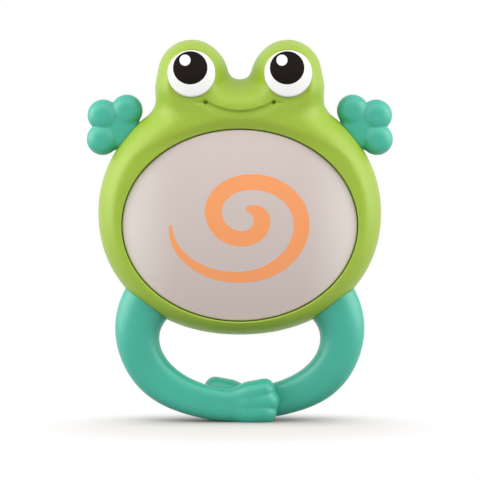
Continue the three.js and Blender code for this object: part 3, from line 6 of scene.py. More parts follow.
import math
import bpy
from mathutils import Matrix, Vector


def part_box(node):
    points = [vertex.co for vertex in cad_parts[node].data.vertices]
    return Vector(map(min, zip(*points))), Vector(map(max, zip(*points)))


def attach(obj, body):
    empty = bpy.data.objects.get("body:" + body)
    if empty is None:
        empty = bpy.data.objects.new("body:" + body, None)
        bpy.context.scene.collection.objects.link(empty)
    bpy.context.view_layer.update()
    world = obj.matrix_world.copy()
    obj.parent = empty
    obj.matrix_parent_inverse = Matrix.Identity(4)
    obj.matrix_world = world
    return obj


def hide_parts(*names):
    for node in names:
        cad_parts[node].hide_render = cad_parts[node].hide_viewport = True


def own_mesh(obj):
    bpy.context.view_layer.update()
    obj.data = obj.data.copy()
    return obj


bl_info = {
    "name": "Frog tap drum",
    "version": (1, 0, 0),
    "blender": (4, 5, 0),
    "location": "View3D > Sidebar > Frog drum",
    "description": "Builds the finished surfaces of a frog tap drum round its packed frame",
    "category": "Object",
}

import bmesh
import bpy
import numpy as np
from bpy.props import FloatProperty, FloatVectorProperty, PointerProperty
from mathutils import Matrix, Vector

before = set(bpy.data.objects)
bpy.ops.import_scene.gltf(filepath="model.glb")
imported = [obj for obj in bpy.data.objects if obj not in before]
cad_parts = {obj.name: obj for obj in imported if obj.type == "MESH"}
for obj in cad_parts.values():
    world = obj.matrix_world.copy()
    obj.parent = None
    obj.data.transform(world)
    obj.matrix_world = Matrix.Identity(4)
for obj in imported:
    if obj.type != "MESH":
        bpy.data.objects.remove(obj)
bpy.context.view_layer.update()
MM = 0.001


def node_box(node):
    """Lowest and highest corner of a node, in millimetres."""
    low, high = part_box(node)
    return np.array(low) / MM, np.array(high) / MM


def node_middle(node):
    low, high = node_box(node)
    return (low + high) / 2


# Body outline, seen from the front
BODY_HALF_WIDTH = 63.6
BODY_UP = 57.2
BODY_DOWN = 55.2
BODY_SQUARE = 2.12
BODY_Z = 94.0
EYE_X = 21.5
EYE_Z = 156.2
EYE_LOBE_RADIUS = 15.2
EYE_ROOT_X = 22.8
EYE_ROOT_Z = 150.0
EYE_ROOT_RADIUS = 15.2
VALLEY_BLEND = 19.5
CHEEK_BLEND = 8.0

# Body depth in front of and behind the parting plane
WALL = 2.2
RIM_DEPTH = 17.0
RIM_ROUND = 12.0
BACK_DEPTH = node_box("rear_shell")[1][1]
BACK_ROUND = 17.0
LOBE_ROUND = 7.2
LOBE_REACH = 27.0
SOCKET_DEPTH = 16.6
SOCKET_RADIUS = 18.0
SOCKET_LEAN = math.radians(5)
EYE_TILT = math.radians(12)
SNOUT_Z = 146.5
SNOUT_HALF_WIDTH = 25.0
SNOUT_HALF_HEIGHT = 12.0
CHIN_HALF_HEIGHT = 16.0
SNOUT_RISE = 3.0
FACE_BLEND = 2.5
EDGE_BAND = 4.5
PARTING_GROOVE = 0.18

# Eyes
EYE_RADIUS = 10.6
EYE_EDGE = 1.3
EYE_DOME = 2.1
EYE_FRONT = -node_box("left_eye")[0][1]
EYE_LIFT = 0.3
EYE_STEM = 1.3
EYE_SEAT = (
    EYE_FRONT
    - (EYE_LIFT + EYE_EDGE + EYE_DOME) * math.cos(EYE_TILT)
    - EYE_RADIUS**2 / (4 * EYE_DOME) * math.tan(EYE_TILT) * math.sin(EYE_TILT)
)
PUPIL_RADIUS = 7.6
PUPIL_X = -0.5
PUPIL_UP = 2.2
PUPIL_FLOOR = 0.8
GLINT_RADIUS = 2.45
GLINT_X = -2.3
GLINT_UP = 3.85
GLINT_SOFTNESS = 0.05
EYE_BEND = 0.3
EYE_RINGS = 30
EYE_DOME_REACH = 0.97
PUPIL_PLAY = 0.05

# Smile
SMILE_HALF_WIDTH = 14.9
SMILE_END_Z = 143.6
SMILE_SAG = 4.3
SMILE_END_FADE = 0.6
PIT_PAST = 0.3
PIT_HALF_WIDTH = 0.9
PIT_HALF_HEIGHT = 0.7
PIT_SHARE = 1.9
DIMPLE_PAST = 2.4
DIMPLE_DROP = 0.25
DIMPLE_HALF_WIDTH = 1.9
DIMPLE_HALF_HEIGHT = 0.6
DIMPLE_SHARE = 0.6

# Tap panel and its recess
PANEL_LOW, PANEL_HIGH = node_box("belly_panel")
PANEL_Z = (PANEL_LOW[2] + PANEL_HIGH[2]) / 2
PANEL_HALF_WIDTH = (PANEL_HIGH[0] - PANEL_LOW[0]) / 2
PANEL_HALF_HEIGHT = (PANEL_HIGH[2] - PANEL_LOW[2]) / 2
PANEL_TOP = -PANEL_LOW[1]
PANEL_GAP = 0.4
PANEL_RISE = 4.2
PANEL_EDGE = PANEL_TOP - PANEL_RISE
PANEL_SKIRT = 3.2
PANEL_ROUND = 0.9
PANEL_WALL = 2.0
LIP_DEPTH = 15.2
LIP_SLOPE = 0.57
LIP_BLEND = 0.8
SIDE_LIP_DEPTH = 16.5
SIDE_LIP_SLOPE = 0.13
SIDE_LIP_BLEND = 1.6
CHIN_LOW = 28.0
CHIN_HIGH = 42.0
LIP_ROUND = 0.5
CUP_WALL = 1.8
FLOOR_DEPTH = 8.5
FLOOR_THICK = 1.8
POST_RADIUS = 2.5
STRIKER_RADIUS = 3.0
STRIKER_END = node_box("tap_switch_plunger")[0][1] - 0.1
TAP_WINDOW = 5.4
LAMP_WINDOW = 2.9

# Hands
HAND_ANGLE = math.radians(141.8)
FINGER_RADII = (7.1, 6.4, 7.1)
FINGER_OUT = 13.9
SIDE_FINGER_OUT = 7.2
SIDE_FINGER_SPREAD = 8.5
PALM_RADII = (9.2, 5.2, 9.2)
PALM_OUT = 3.8
HAND_SQUARE = 2.65

# Leg loop
LOOP_HALF_WIDTH = 46.0
LOOP_HALF_HEIGHT = 32.3
LOOP_Z = 39.4
LEG_START_ANGLE = 130.0
LEG_ROOT_ANGLE = 155.0
LEG_CROSS_START = 205.0
LEG_CROSS_END = 260.0
LEG_END_ANGLE = 269.0
LOOP_BOTTOM_ANGLE = 270.0
LEG_ROOT_WIDTH = 23.5
LEG_ANKLE_WIDTH = 14.5
LEG_BULGE = 0.9
LEG_THICKEN = 1.3
LEG_BULGE_ANGLE = 220.0
LEG_BULGE_REACH = 23.0
LEG_ROOT_DEPTH = 20.0
LEG_ANKLE_DEPTH = 10.4
LEG_CROSS = 4.6
LEG_ROOT_SQUARE = 2.3
LEG_SQUARE = 2.9
FOOT_HEIGHT = 15.4
FOOT_LIFT = 0.4
FOOT_CAP = 14.0
TOE_RADIUS = 3.8
TOE_HALF_DEPTH = 4.9
TOE_PITCH = 5.6
TOE_Z = 9.5
TOE_END_X = 15.0
TOE_LEAD = 1.4
TOE_ROOT_X = 5.0
TOE_ROOT_Z = 8.6
TOE_ROOT_PITCH = 4.7
TOE_BLEND = 6.0
TOE_RADII = (TOE_RADIUS, TOE_HALF_DEPTH, TOE_RADIUS)
LEG_MEET_BLEND = 0.7

# Battery bay and door
DOOR_LOW, DOOR_HIGH = node_box("battery_door")
BAY_Z = node_middle("battery_door")[2]
DOOR_INSIDE = DOOR_LOW[1]
DOOR_HALF_HEIGHT = (DOOR_HIGH[2] - DOOR_LOW[2]) / 2
DOOR_LUG_RADIUS = 5.0
DOOR_LUG_X = DOOR_HIGH[0] - DOOR_LUG_RADIUS
DOOR_LUG_OUT = 2.4
DOOR_CORNER = 3.0
DOOR_OUTSIDE = DOOR_HIGH[1]
DOOR_BEVEL = 0.5
DOOR_HOLE = 5.6
DOOR_SEAT = 1.8
GRIP_GROOVES = 4
GRIP_PITCH = 1.9
GRIP_HALF_WIDTH = 9.0
GRIP_DEPTH = 0.5
GRIP_HALF = 0.45
BAY_HALF_WIDTH = 25.25
BAY_HALF_HEIGHT = 11.1
BAY_FLOOR_Y = 6.6
BAY_WALL = 1.4
BAY_CORNER = 0.6
DOOR_PLAY = 0.1

# Screws, switch and grille
SCREW_HEAD_HEIGHT = 1.5
SCREW_SHANK = 1.1
PILOT_HOLE = 1.4
HEAD_HOLE = 2.7
BOSS_RADIUS = 3.2
BOSS_END = node_box("front_shell")[1][1]
SCREW_REACH = 5.2
HEAD_TAPER = 0.86
RECESS_LONG = 0.62
RECESS_SHORT = 0.15
RECESS_HEIGHT = 1.4
SPRING_WIRE = 0.6
SPRING_TURNS = 3.0
CONTACT_TAPER = 0.66
TUBE_WALL = 1.2
TUBE_FRONT = 2.4
TUBE_SEAT = 4.0
SWITCH_X, _, SWITCH_Z = node_middle("power_switch_body")
SWITCH_HALF_X = 4.8
SWITCH_HALF_Z = 2.4
SWITCH_CORNER = 0.4
DISH_DEPTH = 0.9
DISH_MARGIN = 2.2
SPEAKER_Z = node_middle("speaker_cone")[2]
GRILLE_RADIUS = 10.5
GRILLE_SLOTS = 5
GRILLE_SLOT_HALF = 0.9

# Knob and cells
KNOB_BASE_END = 18.0
KNOB_HALF_X = 2.5
KNOB_HALF_Z = 2.1
KNOB_BASE_CORNER = 0.5
KNOB_CORNER = 0.6
KNOB_OVERLAP = 0.2
KNOB_EDGE = ((0, 0.3), (0.1, 0.1), (0.3, 0))
KNOB_RIBS = 5
KNOB_RIB_PITCH = 0.7
KNOB_RIB_HALF = 0.22
KNOB_RIB_REACH = 5.0
KNOB_RIB_CORNER = 0.2
KNOB_RIB_DEPTH = 0.6
CELL_NUB = 1.0
CELL_NUB_RADIUS = 2.75
CELL_NUB_EDGE = 0.2
CELL_EDGE = 0.3
CELL_CRIMP = 0.1
CELL_SHOULDER = 0.8
CELL_FOOT_RING = 0.9
CELL_FOOT_DISH = 0.15
CELL_METAL = 0.75
SCREW_BODIES = {
    "shell_screw": "casing",
    "board_screw": "casing",
    "panel_screw": "panel",
    "door_screw": "door",
}

# Gaps
FIT = 0.3
SOFT_GAP = 0.15
EYE_GAP = 0.06
PAST = 3.0

# Mesh steps
COLUMNS = 600
FINE_STEPS = 12
FACE_DENSITY = 1.4
FACE_START = 0.8
FACE_FULL = 0.93
EDGE_STEPS = 14
EDGE_EASE = 1.9
FACE_STEPS = 84
BACK_STEPS = 26
INSIDE_STEPS = 8
INSIDE_EDGE_STEPS = 4
LIP_STEPS = 6
PANEL_RINGS = 24
PANEL_ROUND_STEPS = 7
PANEL_MIDDLE = 0.004
LEG_RINGS = 60
LEG_SIDES = 24
HAND_VOXEL = 0.35
LEG_VOXEL = 0.5
EVENING = 0.6
SLOPE_STEP = 0.02
HEAD_SIDES = 48
LUG_STEPS = 25
ROUND_SIDES = 96
SMALL_SIDES = 32


def srgb(red, green, blue):
    """A colour as shaders take it, from the numbers of a paint program."""
    shares = [value / 255 for value in (red, green, blue)]
    return (*(s / 12.92 if s <= 0.04045 else ((s + 0.055) / 1.055) ** 2.4 for s in shares), 1.0)


def colour_property(name, description, *paint):
    return FloatVectorProperty(
        name=name, description=description, subtype="COLOR", size=4, min=0, max=1, default=srgb(*paint)
    )


def length_property(name, description, millimetres):
    return FloatProperty(name=name, description=description, default=millimetres * MM, unit="LENGTH")


class FrogSizes(bpy.types.PropertyGroup):
    """Sizes of the finer forms."""

    fold_depth: length_property("Smile depth", "Depth of the smile's fold", 1.15)
    fold_above: length_property("Smile lip", "Reach of the fold under the upper lip", 0.5)
    fold_below: length_property("Smile slope", "Reach of the fold below its line", 2.4)
    finger_crease: length_property("Finger crease", "Rounding between the hands' fingers", 0.8)
    toe_crease: length_property("Toe crease", "Rounding between the toes", 0.6)
    print_height: length_property("Print height", "How far the spiral's ink stands on the panel", 0.04)


class FrogColours(bpy.types.PropertyGroup):
    """Colours of the finishes."""

    shell: colour_property("Shell", "Gloss green of the two shells", 158, 188, 56)
    panel: colour_property("Panel", "Milky white of the belly panel's middle", 209, 194, 189)
    # The panel's edge colour is a painted highlight on the panel's left and right edge.
    panel_side_highlight: colour_property("Panel edge", "Milky white of the panel's left and right edge", 232, 223, 218)
    spiral: colour_property("Spiral", "Ink of the spiral", 249, 161, 101)
    rubber: colour_property("Rubber", "Soft rubber of the hands and legs", 53, 177, 152)
    eye: colour_property("Eye", "White of the eyes", 246, 246, 245)
    pupil: colour_property("Pupil", "Black of the pupils", 25, 17, 14)


def sizes():
    return bpy.context.scene.frog_sizes


def colours():
    return bpy.context.scene.frog_colours


# Fields that shape the body


def oval_distance(x, z, half_x, half_z, square=2.0):
    """Distance from an oval, of squarer shape above 2."""
    right, up = np.abs(x) / half_x, np.abs(z) / half_z
    near = (right**square + up**square) ** (1 / square)
    steep = np.hypot(right ** (square - 1) / half_x, up ** (square - 1) / half_z)
    return near ** (square - 1) * (near - 1) / np.maximum(steep, 1e-9)


def smooth_least(a, b, blend):
    near = np.maximum(blend - np.abs(a - b), 0) / blend
    return np.minimum(a, b) - near * near * blend / 4


def smooth_step(value, low, high):
    share = np.clip((value - low) / (high - low), 0, 1)
    return share * share * (3 - 2 * share)


def between(low, high, share):
    return low + (high - low) * share


def body_distance(x, z):
    upper = oval_distance(x, z - BODY_Z, BODY_HALF_WIDTH, BODY_UP)
    return np.where(z > BODY_Z, upper, oval_distance(x, z - BODY_Z, BODY_HALF_WIDTH, BODY_DOWN, BODY_SQUARE))


def eye_lobe_distance(x, z):
    run_x = EYE_ROOT_X - EYE_X
    run_z = EYE_ROOT_Z - EYE_Z
    along = ((x - EYE_X) * run_x + (z - EYE_Z) * run_z) / (run_x**2 + run_z**2)
    share = np.clip(along, 0, 1)
    away = np.hypot(x - EYE_X - share * run_x, z - EYE_Z - share * run_z)
    return away - between(EYE_LOBE_RADIUS, EYE_ROOT_RADIUS, share)


def outline_distance(x, z):
    eyes = smooth_least(eye_lobe_distance(x, z), eye_lobe_distance(-x, z), VALLEY_BLEND)
    return smooth_least(body_distance(x, z), eyes, CHEEK_BLEND)


def opening_distance(x, z):
    return oval_distance(x, z - PANEL_Z, PANEL_HALF_WIDTH + PANEL_GAP, PANEL_HALF_HEIGHT + PANEL_GAP)


def quarter_round(share):
    return np.sqrt(1 - (1 - np.clip(share, 0, 1)) ** 2)


def front_depth(x, z, grow=0.0):
    """Depth of the front shell's skin, moved out by grow."""
    from_eye = np.hypot(np.abs(x) - EYE_X, z - EYE_Z)
    socket = 1 - smooth_step(from_eye, EYE_RADIUS, SOCKET_RADIUS)
    lobe = 1 - smooth_step(from_eye, EYE_RADIUS, LOBE_REACH)
    rounding = between(RIM_ROUND, LOBE_ROUND, lobe) + grow
    rim = quarter_round((grow - outline_distance(x, z)) / rounding)
    depth = RIM_DEPTH + grow
    above = z - EYE_Z
    if grow < 0:
        behind_eye = EYE_SEAT + grow - above * math.tan(EYE_TILT)
        return rim * between(depth, np.minimum(depth, behind_eye), socket)
    eye = between(depth, SOCKET_DEPTH + grow - above * math.tan(SOCKET_LEAN), socket)
    half_height = np.where(z > SNOUT_Z, SNOUT_HALF_HEIGHT, CHIN_HALF_HEIGHT)
    from_snout = np.minimum(np.hypot(x / SNOUT_HALF_WIDTH, (z - SNOUT_Z) / half_height), 1)
    snout = (1 - from_snout**2) ** 2
    face = -rim * smooth_least(-eye, -depth - SNOUT_RISE * snout, FACE_BLEND)
    chin = smooth_step(z - PANEL_Z, CHIN_LOW, CHIN_HIGH)
    slope = between(SIDE_LIP_SLOPE, LIP_SLOPE, chin)
    lip = between(SIDE_LIP_DEPTH, LIP_DEPTH, chin) + grow + slope * opening_distance(x, z)
    return smooth_least(face, lip, between(SIDE_LIP_BLEND, LIP_BLEND, chin))


def back_depth(x, z, grow=0.0):
    return (BACK_DEPTH + grow) * quarter_round((grow - outline_distance(x, z)) / (BACK_ROUND + grow))


def soft_spot(x, z, half_x, half_z):
    """A spot of height 1 that fades out on all sides."""
    return np.exp(-((x / half_x) ** 2) - (z / half_z) ** 2)


def smile_depth(x, z):
    """Depth of the smile: steep under the upper lip, gentle below, with a pit and a dimple at each end."""
    side = np.clip(x / SMILE_HALF_WIDTH, -1, 1)
    line = SMILE_END_Z - SMILE_SAG * (1 - side**2)
    slope = 2 * SMILE_SAG * side / SMILE_HALF_WIDTH
    below = (line - z) / np.hypot(1, slope)
    beyond = np.abs(x) - SMILE_HALF_WIDTH
    above = z - SMILE_END_Z
    width = np.where(below < 0, sizes().fold_above, sizes().fold_below) / MM
    fold = soft_spot(below, np.maximum(beyond, 0), width, SMILE_END_FADE)
    pit = soft_spot(beyond - PIT_PAST, above, PIT_HALF_WIDTH, PIT_HALF_HEIGHT)
    dimple = soft_spot(beyond - DIMPLE_PAST, above + DIMPLE_DROP, DIMPLE_HALF_WIDTH, DIMPLE_HALF_HEIGHT)
    return sizes().fold_depth / MM * (fold + PIT_SHARE * pit + DIMPLE_SHARE * dimple)


# Meshes


def add_object(name, mesh):
    piece = bpy.data.objects.new(name, mesh)
    bpy.context.scene.collection.objects.link(piece)
    return piece


def mesh_points(mesh):
    """A mesh's points, in millimetres."""
    points = np.zeros(len(mesh.vertices) * 3)
    mesh.vertices.foreach_get("co", points)
    return points.reshape(-1, 3) / MM


def set_points(mesh, points):
    mesh.vertices.foreach_set("co", (points * MM).ravel())
    mesh.update()


def face_outwards(mesh):
    mesh.calc_loop_triangles()
    triangles = np.zeros(len(mesh.loop_triangles) * 3, np.int32)
    mesh.loop_triangles.foreach_get("vertices", triangles)
    points = mesh_points(mesh)
    a, b, c = (points[triangles.reshape(-1, 3)[:, k]] for k in range(3))
    if np.einsum("ij,ij->i", a, np.cross(b, c)).sum() < 0:
        mesh.flip_normals()


def solid(name, points, faces):
    """A mesh object from points in millimetres."""
    mesh = bpy.data.meshes.new(name)
    mesh.from_pydata((np.asarray(points) * MM).tolist(), [], [list(map(int, face)) for face in faces])
    mesh.validate()
    face_outwards(mesh)
    return add_object(name, mesh)


def loft(name, rings):
    """A closed skin through rings of equal count, each end closed by one face."""
    count = len(rings[0])
    ahead = np.arange(count)
    after = (ahead + 1) % count
    faces = [ahead[::-1], ahead + count * (len(rings) - 1)]
    for low in range(0, count * (len(rings) - 1), count):
        high = low + count
        faces.extend(np.stack([low + ahead, low + after, high + after, high + ahead], 1))
    return solid(name, np.concatenate(rings), faces)


def on_plane(outline, y):
    """A ring at depth y, or at a depth for each point, from an outline of x and z."""
    return np.stack([outline[:, 0], np.broadcast_to(y, len(outline)), outline[:, 1]], 1)


def turns(count):
    return 2 * math.pi * np.arange(count) / count


def circle(x, z, radius, sides=SMALL_SIDES):
    angle = turns(sides)
    return np.stack([x + radius * np.cos(angle), z + radius * np.sin(angle)], 1)


def oval(half_x, half_z, sides=2 * ROUND_SIDES):
    angle = turns(sides)
    return np.stack([half_x * np.cos(angle), PANEL_Z + half_z * np.sin(angle)], 1)


def rounded(x, z, half_x, half_z, corner, steps=10):
    """A rectangle with round corners."""
    points = []
    for quarter, (right, up) in enumerate([(1, 1), (-1, 1), (-1, -1), (1, -1)]):
        for angle in np.linspace(0, math.pi / 2, steps) + quarter * math.pi / 2:
            points.append([
                x + right * (half_x - corner) + corner * math.cos(angle),
                z + up * (half_z - corner) + corner * math.sin(angle),
            ])
    return np.array(points)


def prism(outline, front, back):
    return loft("prism", [on_plane(outline, front), on_plane(outline, back)])


def bar(x, z, radius, front, back, sides=SMALL_SIDES):
    return prism(circle(x, z, radius, sides), front, back)


def turned(name, profile, sides=ROUND_SIDES):
    """A piece turned about Y, from pairs of radius and y, with a small flat at each end."""
    return loft(name, [on_plane(circle(0, 0, max(radius, 0.05), sides), y) for radius, y in profile])


def merged(name, pieces):
    """Several solids as one object."""
    points, faces, start = [], [], 0
    for piece in pieces:
        points.append(mesh_points(piece.data))
        faces.extend([[start + i for i in face.vertices] for face in piece.data.polygons])
        start += len(points[-1])
        bpy.data.objects.remove(piece)
    mesh = bpy.data.meshes.new(name)
    mesh.from_pydata((np.concatenate(points) * MM).tolist(), [], faces)
    return add_object(name, mesh)


def applied(piece):
    """A piece with its modifiers worked into its mesh."""
    bpy.context.view_layer.update()
    done = piece.evaluated_get(bpy.context.evaluated_depsgraph_get())
    mesh = bpy.data.meshes.new_from_object(done)
    piece.modifiers.clear()
    piece.data = mesh
    return piece


def carve(piece, operation, *tools):
    """Cuts a piece by solids, joins it with them or keeps what is inside them."""
    tool = merged("tool", tools)
    boolean = piece.modifiers.new("carve", "BOOLEAN")
    boolean.operation = operation
    boolean.solver = "MANIFOLD"
    boolean.object = tool
    applied(piece)
    bpy.data.objects.remove(tool)
    if not piece.data.polygons:
        raise RuntimeError(f"{piece.name} has no faces left after {operation}")
    return piece


def duplicate(piece, mirror=False):
    other = add_object(piece.name, piece.data.copy())
    if mirror:
        other.data.transform(Matrix.Diagonal((-1, 1, 1, 1)))
        other.data.flip_normals()
    return other


def placed(piece, matrix):
    piece.data.transform(matrix)
    return piece


def smooth(piece, sharp_degrees=35):
    piece.data.shade_smooth()
    piece.data.set_sharp_from_angle(angle=math.radians(sharp_degrees))
    return piece


def dress(piece, name, body, slot, finish, *nodes):
    """Names a finished piece, gives it its finish and sets it on its body in place of its nodes."""
    piece.name = name
    piece.data.name = name
    piece.data.materials.clear()
    piece.data.materials.append(finish)
    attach(piece, body)
    if nodes:
        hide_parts(*nodes)
    return piece


def skin_of(node, piece, body, slot, finish, sharp_degrees=35):
    """Smooths a finished piece and sets it on its body in place of the one node that it shows."""
    return dress(smooth(piece, sharp_degrees), f"{node}_skin", body, slot, finish_of(finish), node)


# Columns of places from the outline inwards


def reach(field, angle, level):
    """Distance from the panel's centre, at each angle, to the line where a field has a level."""
    inside = np.zeros_like(angle)
    outside = np.full_like(angle, 2 * BODY_HALF_WIDTH)
    for _ in range(48):
        radius = (inside + outside) / 2
        within = field(radius * np.cos(angle), PANEL_Z + radius * np.sin(angle)) < level
        inside = np.where(within, radius, inside)
        outside = np.where(within, outside, radius)
    return inside


def from_panel(radius, angle):
    return np.stack([radius * np.cos(angle), PANEL_Z + radius * np.sin(angle)], 1)


def outline_angles(count):
    """Angles of points along the outline, closer together over the face."""
    fine = np.linspace(0, 2 * math.pi, count * FINE_STEPS + 1) + math.pi / 2
    line = from_panel(reach(outline_distance, fine, 0.0), fine)
    over_face = 1 + FACE_DENSITY * smooth_step(np.sin(fine), FACE_START, FACE_FULL)
    steps = np.linalg.norm(np.diff(line, axis=0), axis=1) * over_face[1:]
    walked = np.concatenate([[0], np.cumsum(steps)])
    return np.interp(np.arange(count) / count * walked[-1], walked, fine)


ANGLES = outline_angles(COLUMNS)


def edge_line(grow):
    return from_panel(reach(outline_distance, ANGLES, grow), ANGLES)


def outwards(places, step=0.05):
    x, z = places.T
    slope = np.stack([
        outline_distance(x + step, z) - outline_distance(x - step, z),
        outline_distance(x, z + step) - outline_distance(x, z - step),
    ], 1)
    return slope / np.linalg.norm(slope, axis=1, keepdims=True)


def columns(grow, edge_steps, face_steps, field, level):
    """Rings of places: square to the outline through its edge band, then straight to a level of a field."""
    edge = edge_line(grow)
    out = outwards(edge)
    rings = [edge - out * EDGE_BAND * (k / edge_steps) ** EDGE_EASE for k in range(edge_steps + 1)]
    last = rings[-1] - np.array([0, PANEL_Z])
    angle = np.arctan2(last[:, 1], last[:, 0])
    start = np.linalg.norm(last, axis=1)
    end = reach(field, angle, level)
    for k in range(1, face_steps + 1):
        rings.append(from_panel(between(start, end, k / face_steps), angle))
    return rings, angle


def front_skin(grow, edge_steps, face_steps, level):
    places, angle = columns(grow, edge_steps, face_steps, opening_distance, level)
    return [on_plane(ring, -front_depth(*ring.T, grow)) for ring in places], angle


def back_skin(grow, edge_steps, face_steps):
    places, _ = columns(grow, edge_steps, face_steps, body_distance, -BACK_ROUND)
    return [on_plane(ring, back_depth(*ring.T, grow)) for ring in places]


def front_shell_blank():
    outer, angle = front_skin(0.0, EDGE_STEPS, FACE_STEPS, LIP_ROUND)
    for ring in outer:
        ring[:, 1] = np.minimum(ring[:, 1] + smile_depth(ring[:, 0], ring[:, 2]), -PARTING_GROOVE)
    lip = outer[-1][:, 1]
    for turn in np.linspace(0, math.pi / 2, LIP_STEPS)[1:]:
        line = from_panel(reach(opening_distance, angle, LIP_ROUND * (1 - math.sin(turn))), angle)
        outer.append(on_plane(line, lip + LIP_ROUND * (1 - math.cos(turn))))
    outer.append(on_plane(outer[-1][:, [0, 2]], -FLOOR_DEPTH))
    groove = on_plane(edge_line(-PARTING_GROOVE), 0.0)
    inner, _ = front_skin(-WALL, INSIDE_EDGE_STEPS, INSIDE_STEPS, CUP_WALL)
    inner.append(on_plane(inner[-1][:, [0, 2]], -FLOOR_DEPTH + FLOOR_THICK))
    return loft("front_shell", [*reversed(outer), groove, *inner])


def rear_shell_blank():
    outer = back_skin(0.0, EDGE_STEPS, BACK_STEPS)
    outer[0][:, 1] = PARTING_GROOVE
    groove = on_plane(edge_line(-PARTING_GROOVE), 0.0)
    inner = back_skin(-WALL, INSIDE_EDGE_STEPS, INSIDE_STEPS)
    return loft("rear_shell", [*reversed(outer), groove, *inner])


def whole_body(grow):
    """The closed body, without its recess, to cut soft pieces by."""
    front, _ = front_skin(grow, EDGE_STEPS, BACK_STEPS, LIP_ROUND)
    return loft("whole_body", [*reversed(front), *back_skin(grow, EDGE_STEPS, BACK_STEPS)[1:]])


def eye_place(x):
    """Turns a piece made round the origin to lie in an eye socket."""
    seat = Vector((x, -EYE_SEAT, EYE_Z)) * MM
    return Matrix.Translation(seat) @ Matrix.Rotation(-EYE_TILT, 4, "X")


# Soft skins: a rough solid is remeshed and drawn onto the zero level of a field


def rough_ball(centre, radii):
    shape = bmesh.new()
    place = Matrix.Translation(Vector(centre) * MM) @ Matrix.Diagonal((*(np.array(radii) * MM), 1))
    bmesh.ops.create_icosphere(shape, subdivisions=4, radius=1.0, matrix=place)
    mesh = bpy.data.meshes.new("ball")
    shape.to_mesh(mesh)
    shape.free()
    return add_object("ball", mesh)


def neighbour_mean(points, edges, links):
    total = np.stack([
        np.bincount(edges[:, 0], points[edges[:, 1], k], len(points))
        + np.bincount(edges[:, 1], points[edges[:, 0], k], len(points))
        for k in range(3)
    ], 1)
    return total / links


def drawn_skin(rough, voxel, field, passes=7):
    """Remeshes rough solids as one, then evens the points out and draws them onto the field's surface."""
    piece = merged("skin", rough)
    remesh = piece.modifiers.new("even", "REMESH")
    remesh.mode = "VOXEL"
    remesh.voxel_size = voxel * MM
    mesh = applied(piece).data
    points = mesh_points(mesh)
    edges = np.zeros(len(mesh.edges) * 2, np.int32)
    mesh.edges.foreach_get("vertices", edges)
    edges = edges.reshape(-1, 2)
    links = np.bincount(edges.ravel(), minlength=len(points))[:, None]
    for turn in range(passes):
        if turn < passes - 2:
            points = between(points, neighbour_mean(points, edges, links), EVENING)
        for _ in range(2):
            slope = [field(points + move) - field(points - move) for move in np.eye(3) * SLOPE_STEP]
            slope = np.stack(slope, 1) / (2 * SLOPE_STEP)
            length = np.maximum((slope**2).sum(1, keepdims=True), 1e-6)
            points = points - np.clip(field(points)[:, None] * slope / length, -voxel, voxel)
    set_points(mesh, points)
    return piece


def hand_axes():
    """Where the left hand leaves the body, and its directions out and to the side."""
    place = from_panel(reach(outline_distance, np.array([HAND_ANGLE]), 0.0), np.array([HAND_ANGLE]))
    out = outwards(place)[0]
    return place[0], out, np.array([-out[1], out[0]])


def hand_point(out, side):
    place, ahead, across = hand_axes()
    x, z = place + out * ahead + side * across
    return np.array([x, 0.0, z])


def pebble_distance(points, centre, radii):
    """Distance from a rounded pebble with a flattened front and back."""
    x, y, z = np.abs((points - centre) / radii).T
    near = (np.hypot(x, z) ** HAND_SQUARE + y**HAND_SQUARE) ** (1 / HAND_SQUARE)
    return (near - 1) * min(radii)


def hand_mesh():
    fingers = [
        hand_point(FINGER_OUT, 0),
        hand_point(SIDE_FINGER_OUT, SIDE_FINGER_SPREAD),
        hand_point(SIDE_FINGER_OUT, -SIDE_FINGER_SPREAD),
    ]
    palm = hand_point(PALM_OUT, 0)
    crease = sizes().finger_crease / MM

    def field(points):
        skin = pebble_distance(points, palm, PALM_RADII)
        for finger in fingers:
            skin = smooth_least(skin, pebble_distance(points, finger, FINGER_RADII), crease)
        return skin

    rough = [rough_ball(palm, PALM_RADII), *(rough_ball(finger, FINGER_RADII) for finger in fingers)]
    return drawn_skin(rough, HAND_VOXEL, field)


def leg_shape(angle):
    """Width, depth, depth offset, lift and bulge of a leg at an angle in degrees round the loop."""
    to_ankle = np.clip((angle - LEG_ROOT_ANGLE) / (LOOP_BOTTOM_ANGLE - LEG_ROOT_ANGLE), 0, 1)
    foot = smooth_step(angle, LEG_CROSS_END, LEG_END_ANGLE)
    width = between(LEG_ANKLE_WIDTH, LEG_ROOT_WIDTH, (1 - to_ankle) ** 2)
    depth = between(LEG_ROOT_DEPTH, LEG_ANKLE_DEPTH, smooth_step(angle, LEG_ROOT_ANGLE, LEG_CROSS_END))
    offset = -LEG_CROSS * smooth_step(angle, LEG_CROSS_START, LEG_CROSS_END)
    bend = np.exp(-(((angle - LEG_BULGE_ANGLE) / LEG_BULGE_REACH) ** 2))
    width = between(width, FOOT_HEIGHT, foot) + LEG_THICKEN * bend
    return width, depth, offset, FOOT_LIFT * foot, LEG_BULGE * bend


def nearest_angle(x, z):
    """Angle of the loop's nearest point, kept within the left leg's run."""
    least = math.radians(LEG_START_ANGLE)
    most = math.radians(LEG_END_ANGLE)
    angle = np.arctan2(z / LOOP_HALF_HEIGHT, x / LOOP_HALF_WIDTH) % (2 * math.pi)
    angle = np.where(angle < (least + most) / 2 - math.pi, angle + 2 * math.pi, angle)
    a, b = LOOP_HALF_WIDTH, LOOP_HALF_HEIGHT
    least_bend, longest_turn = 60, 0.2
    for _ in range(4):
        cos, sin = np.cos(angle), np.sin(angle)
        slope = (b * b - a * a) * sin * cos + a * x * sin - b * z * cos
        bend = (b * b - a * a) * (cos * cos - sin * sin) + a * x * cos + b * z * sin
        bend = np.where(np.abs(bend) < least_bend, least_bend, bend)
        angle = angle - np.clip(slope / bend, -longest_turn, longest_turn)
    return np.clip(angle, least, most)


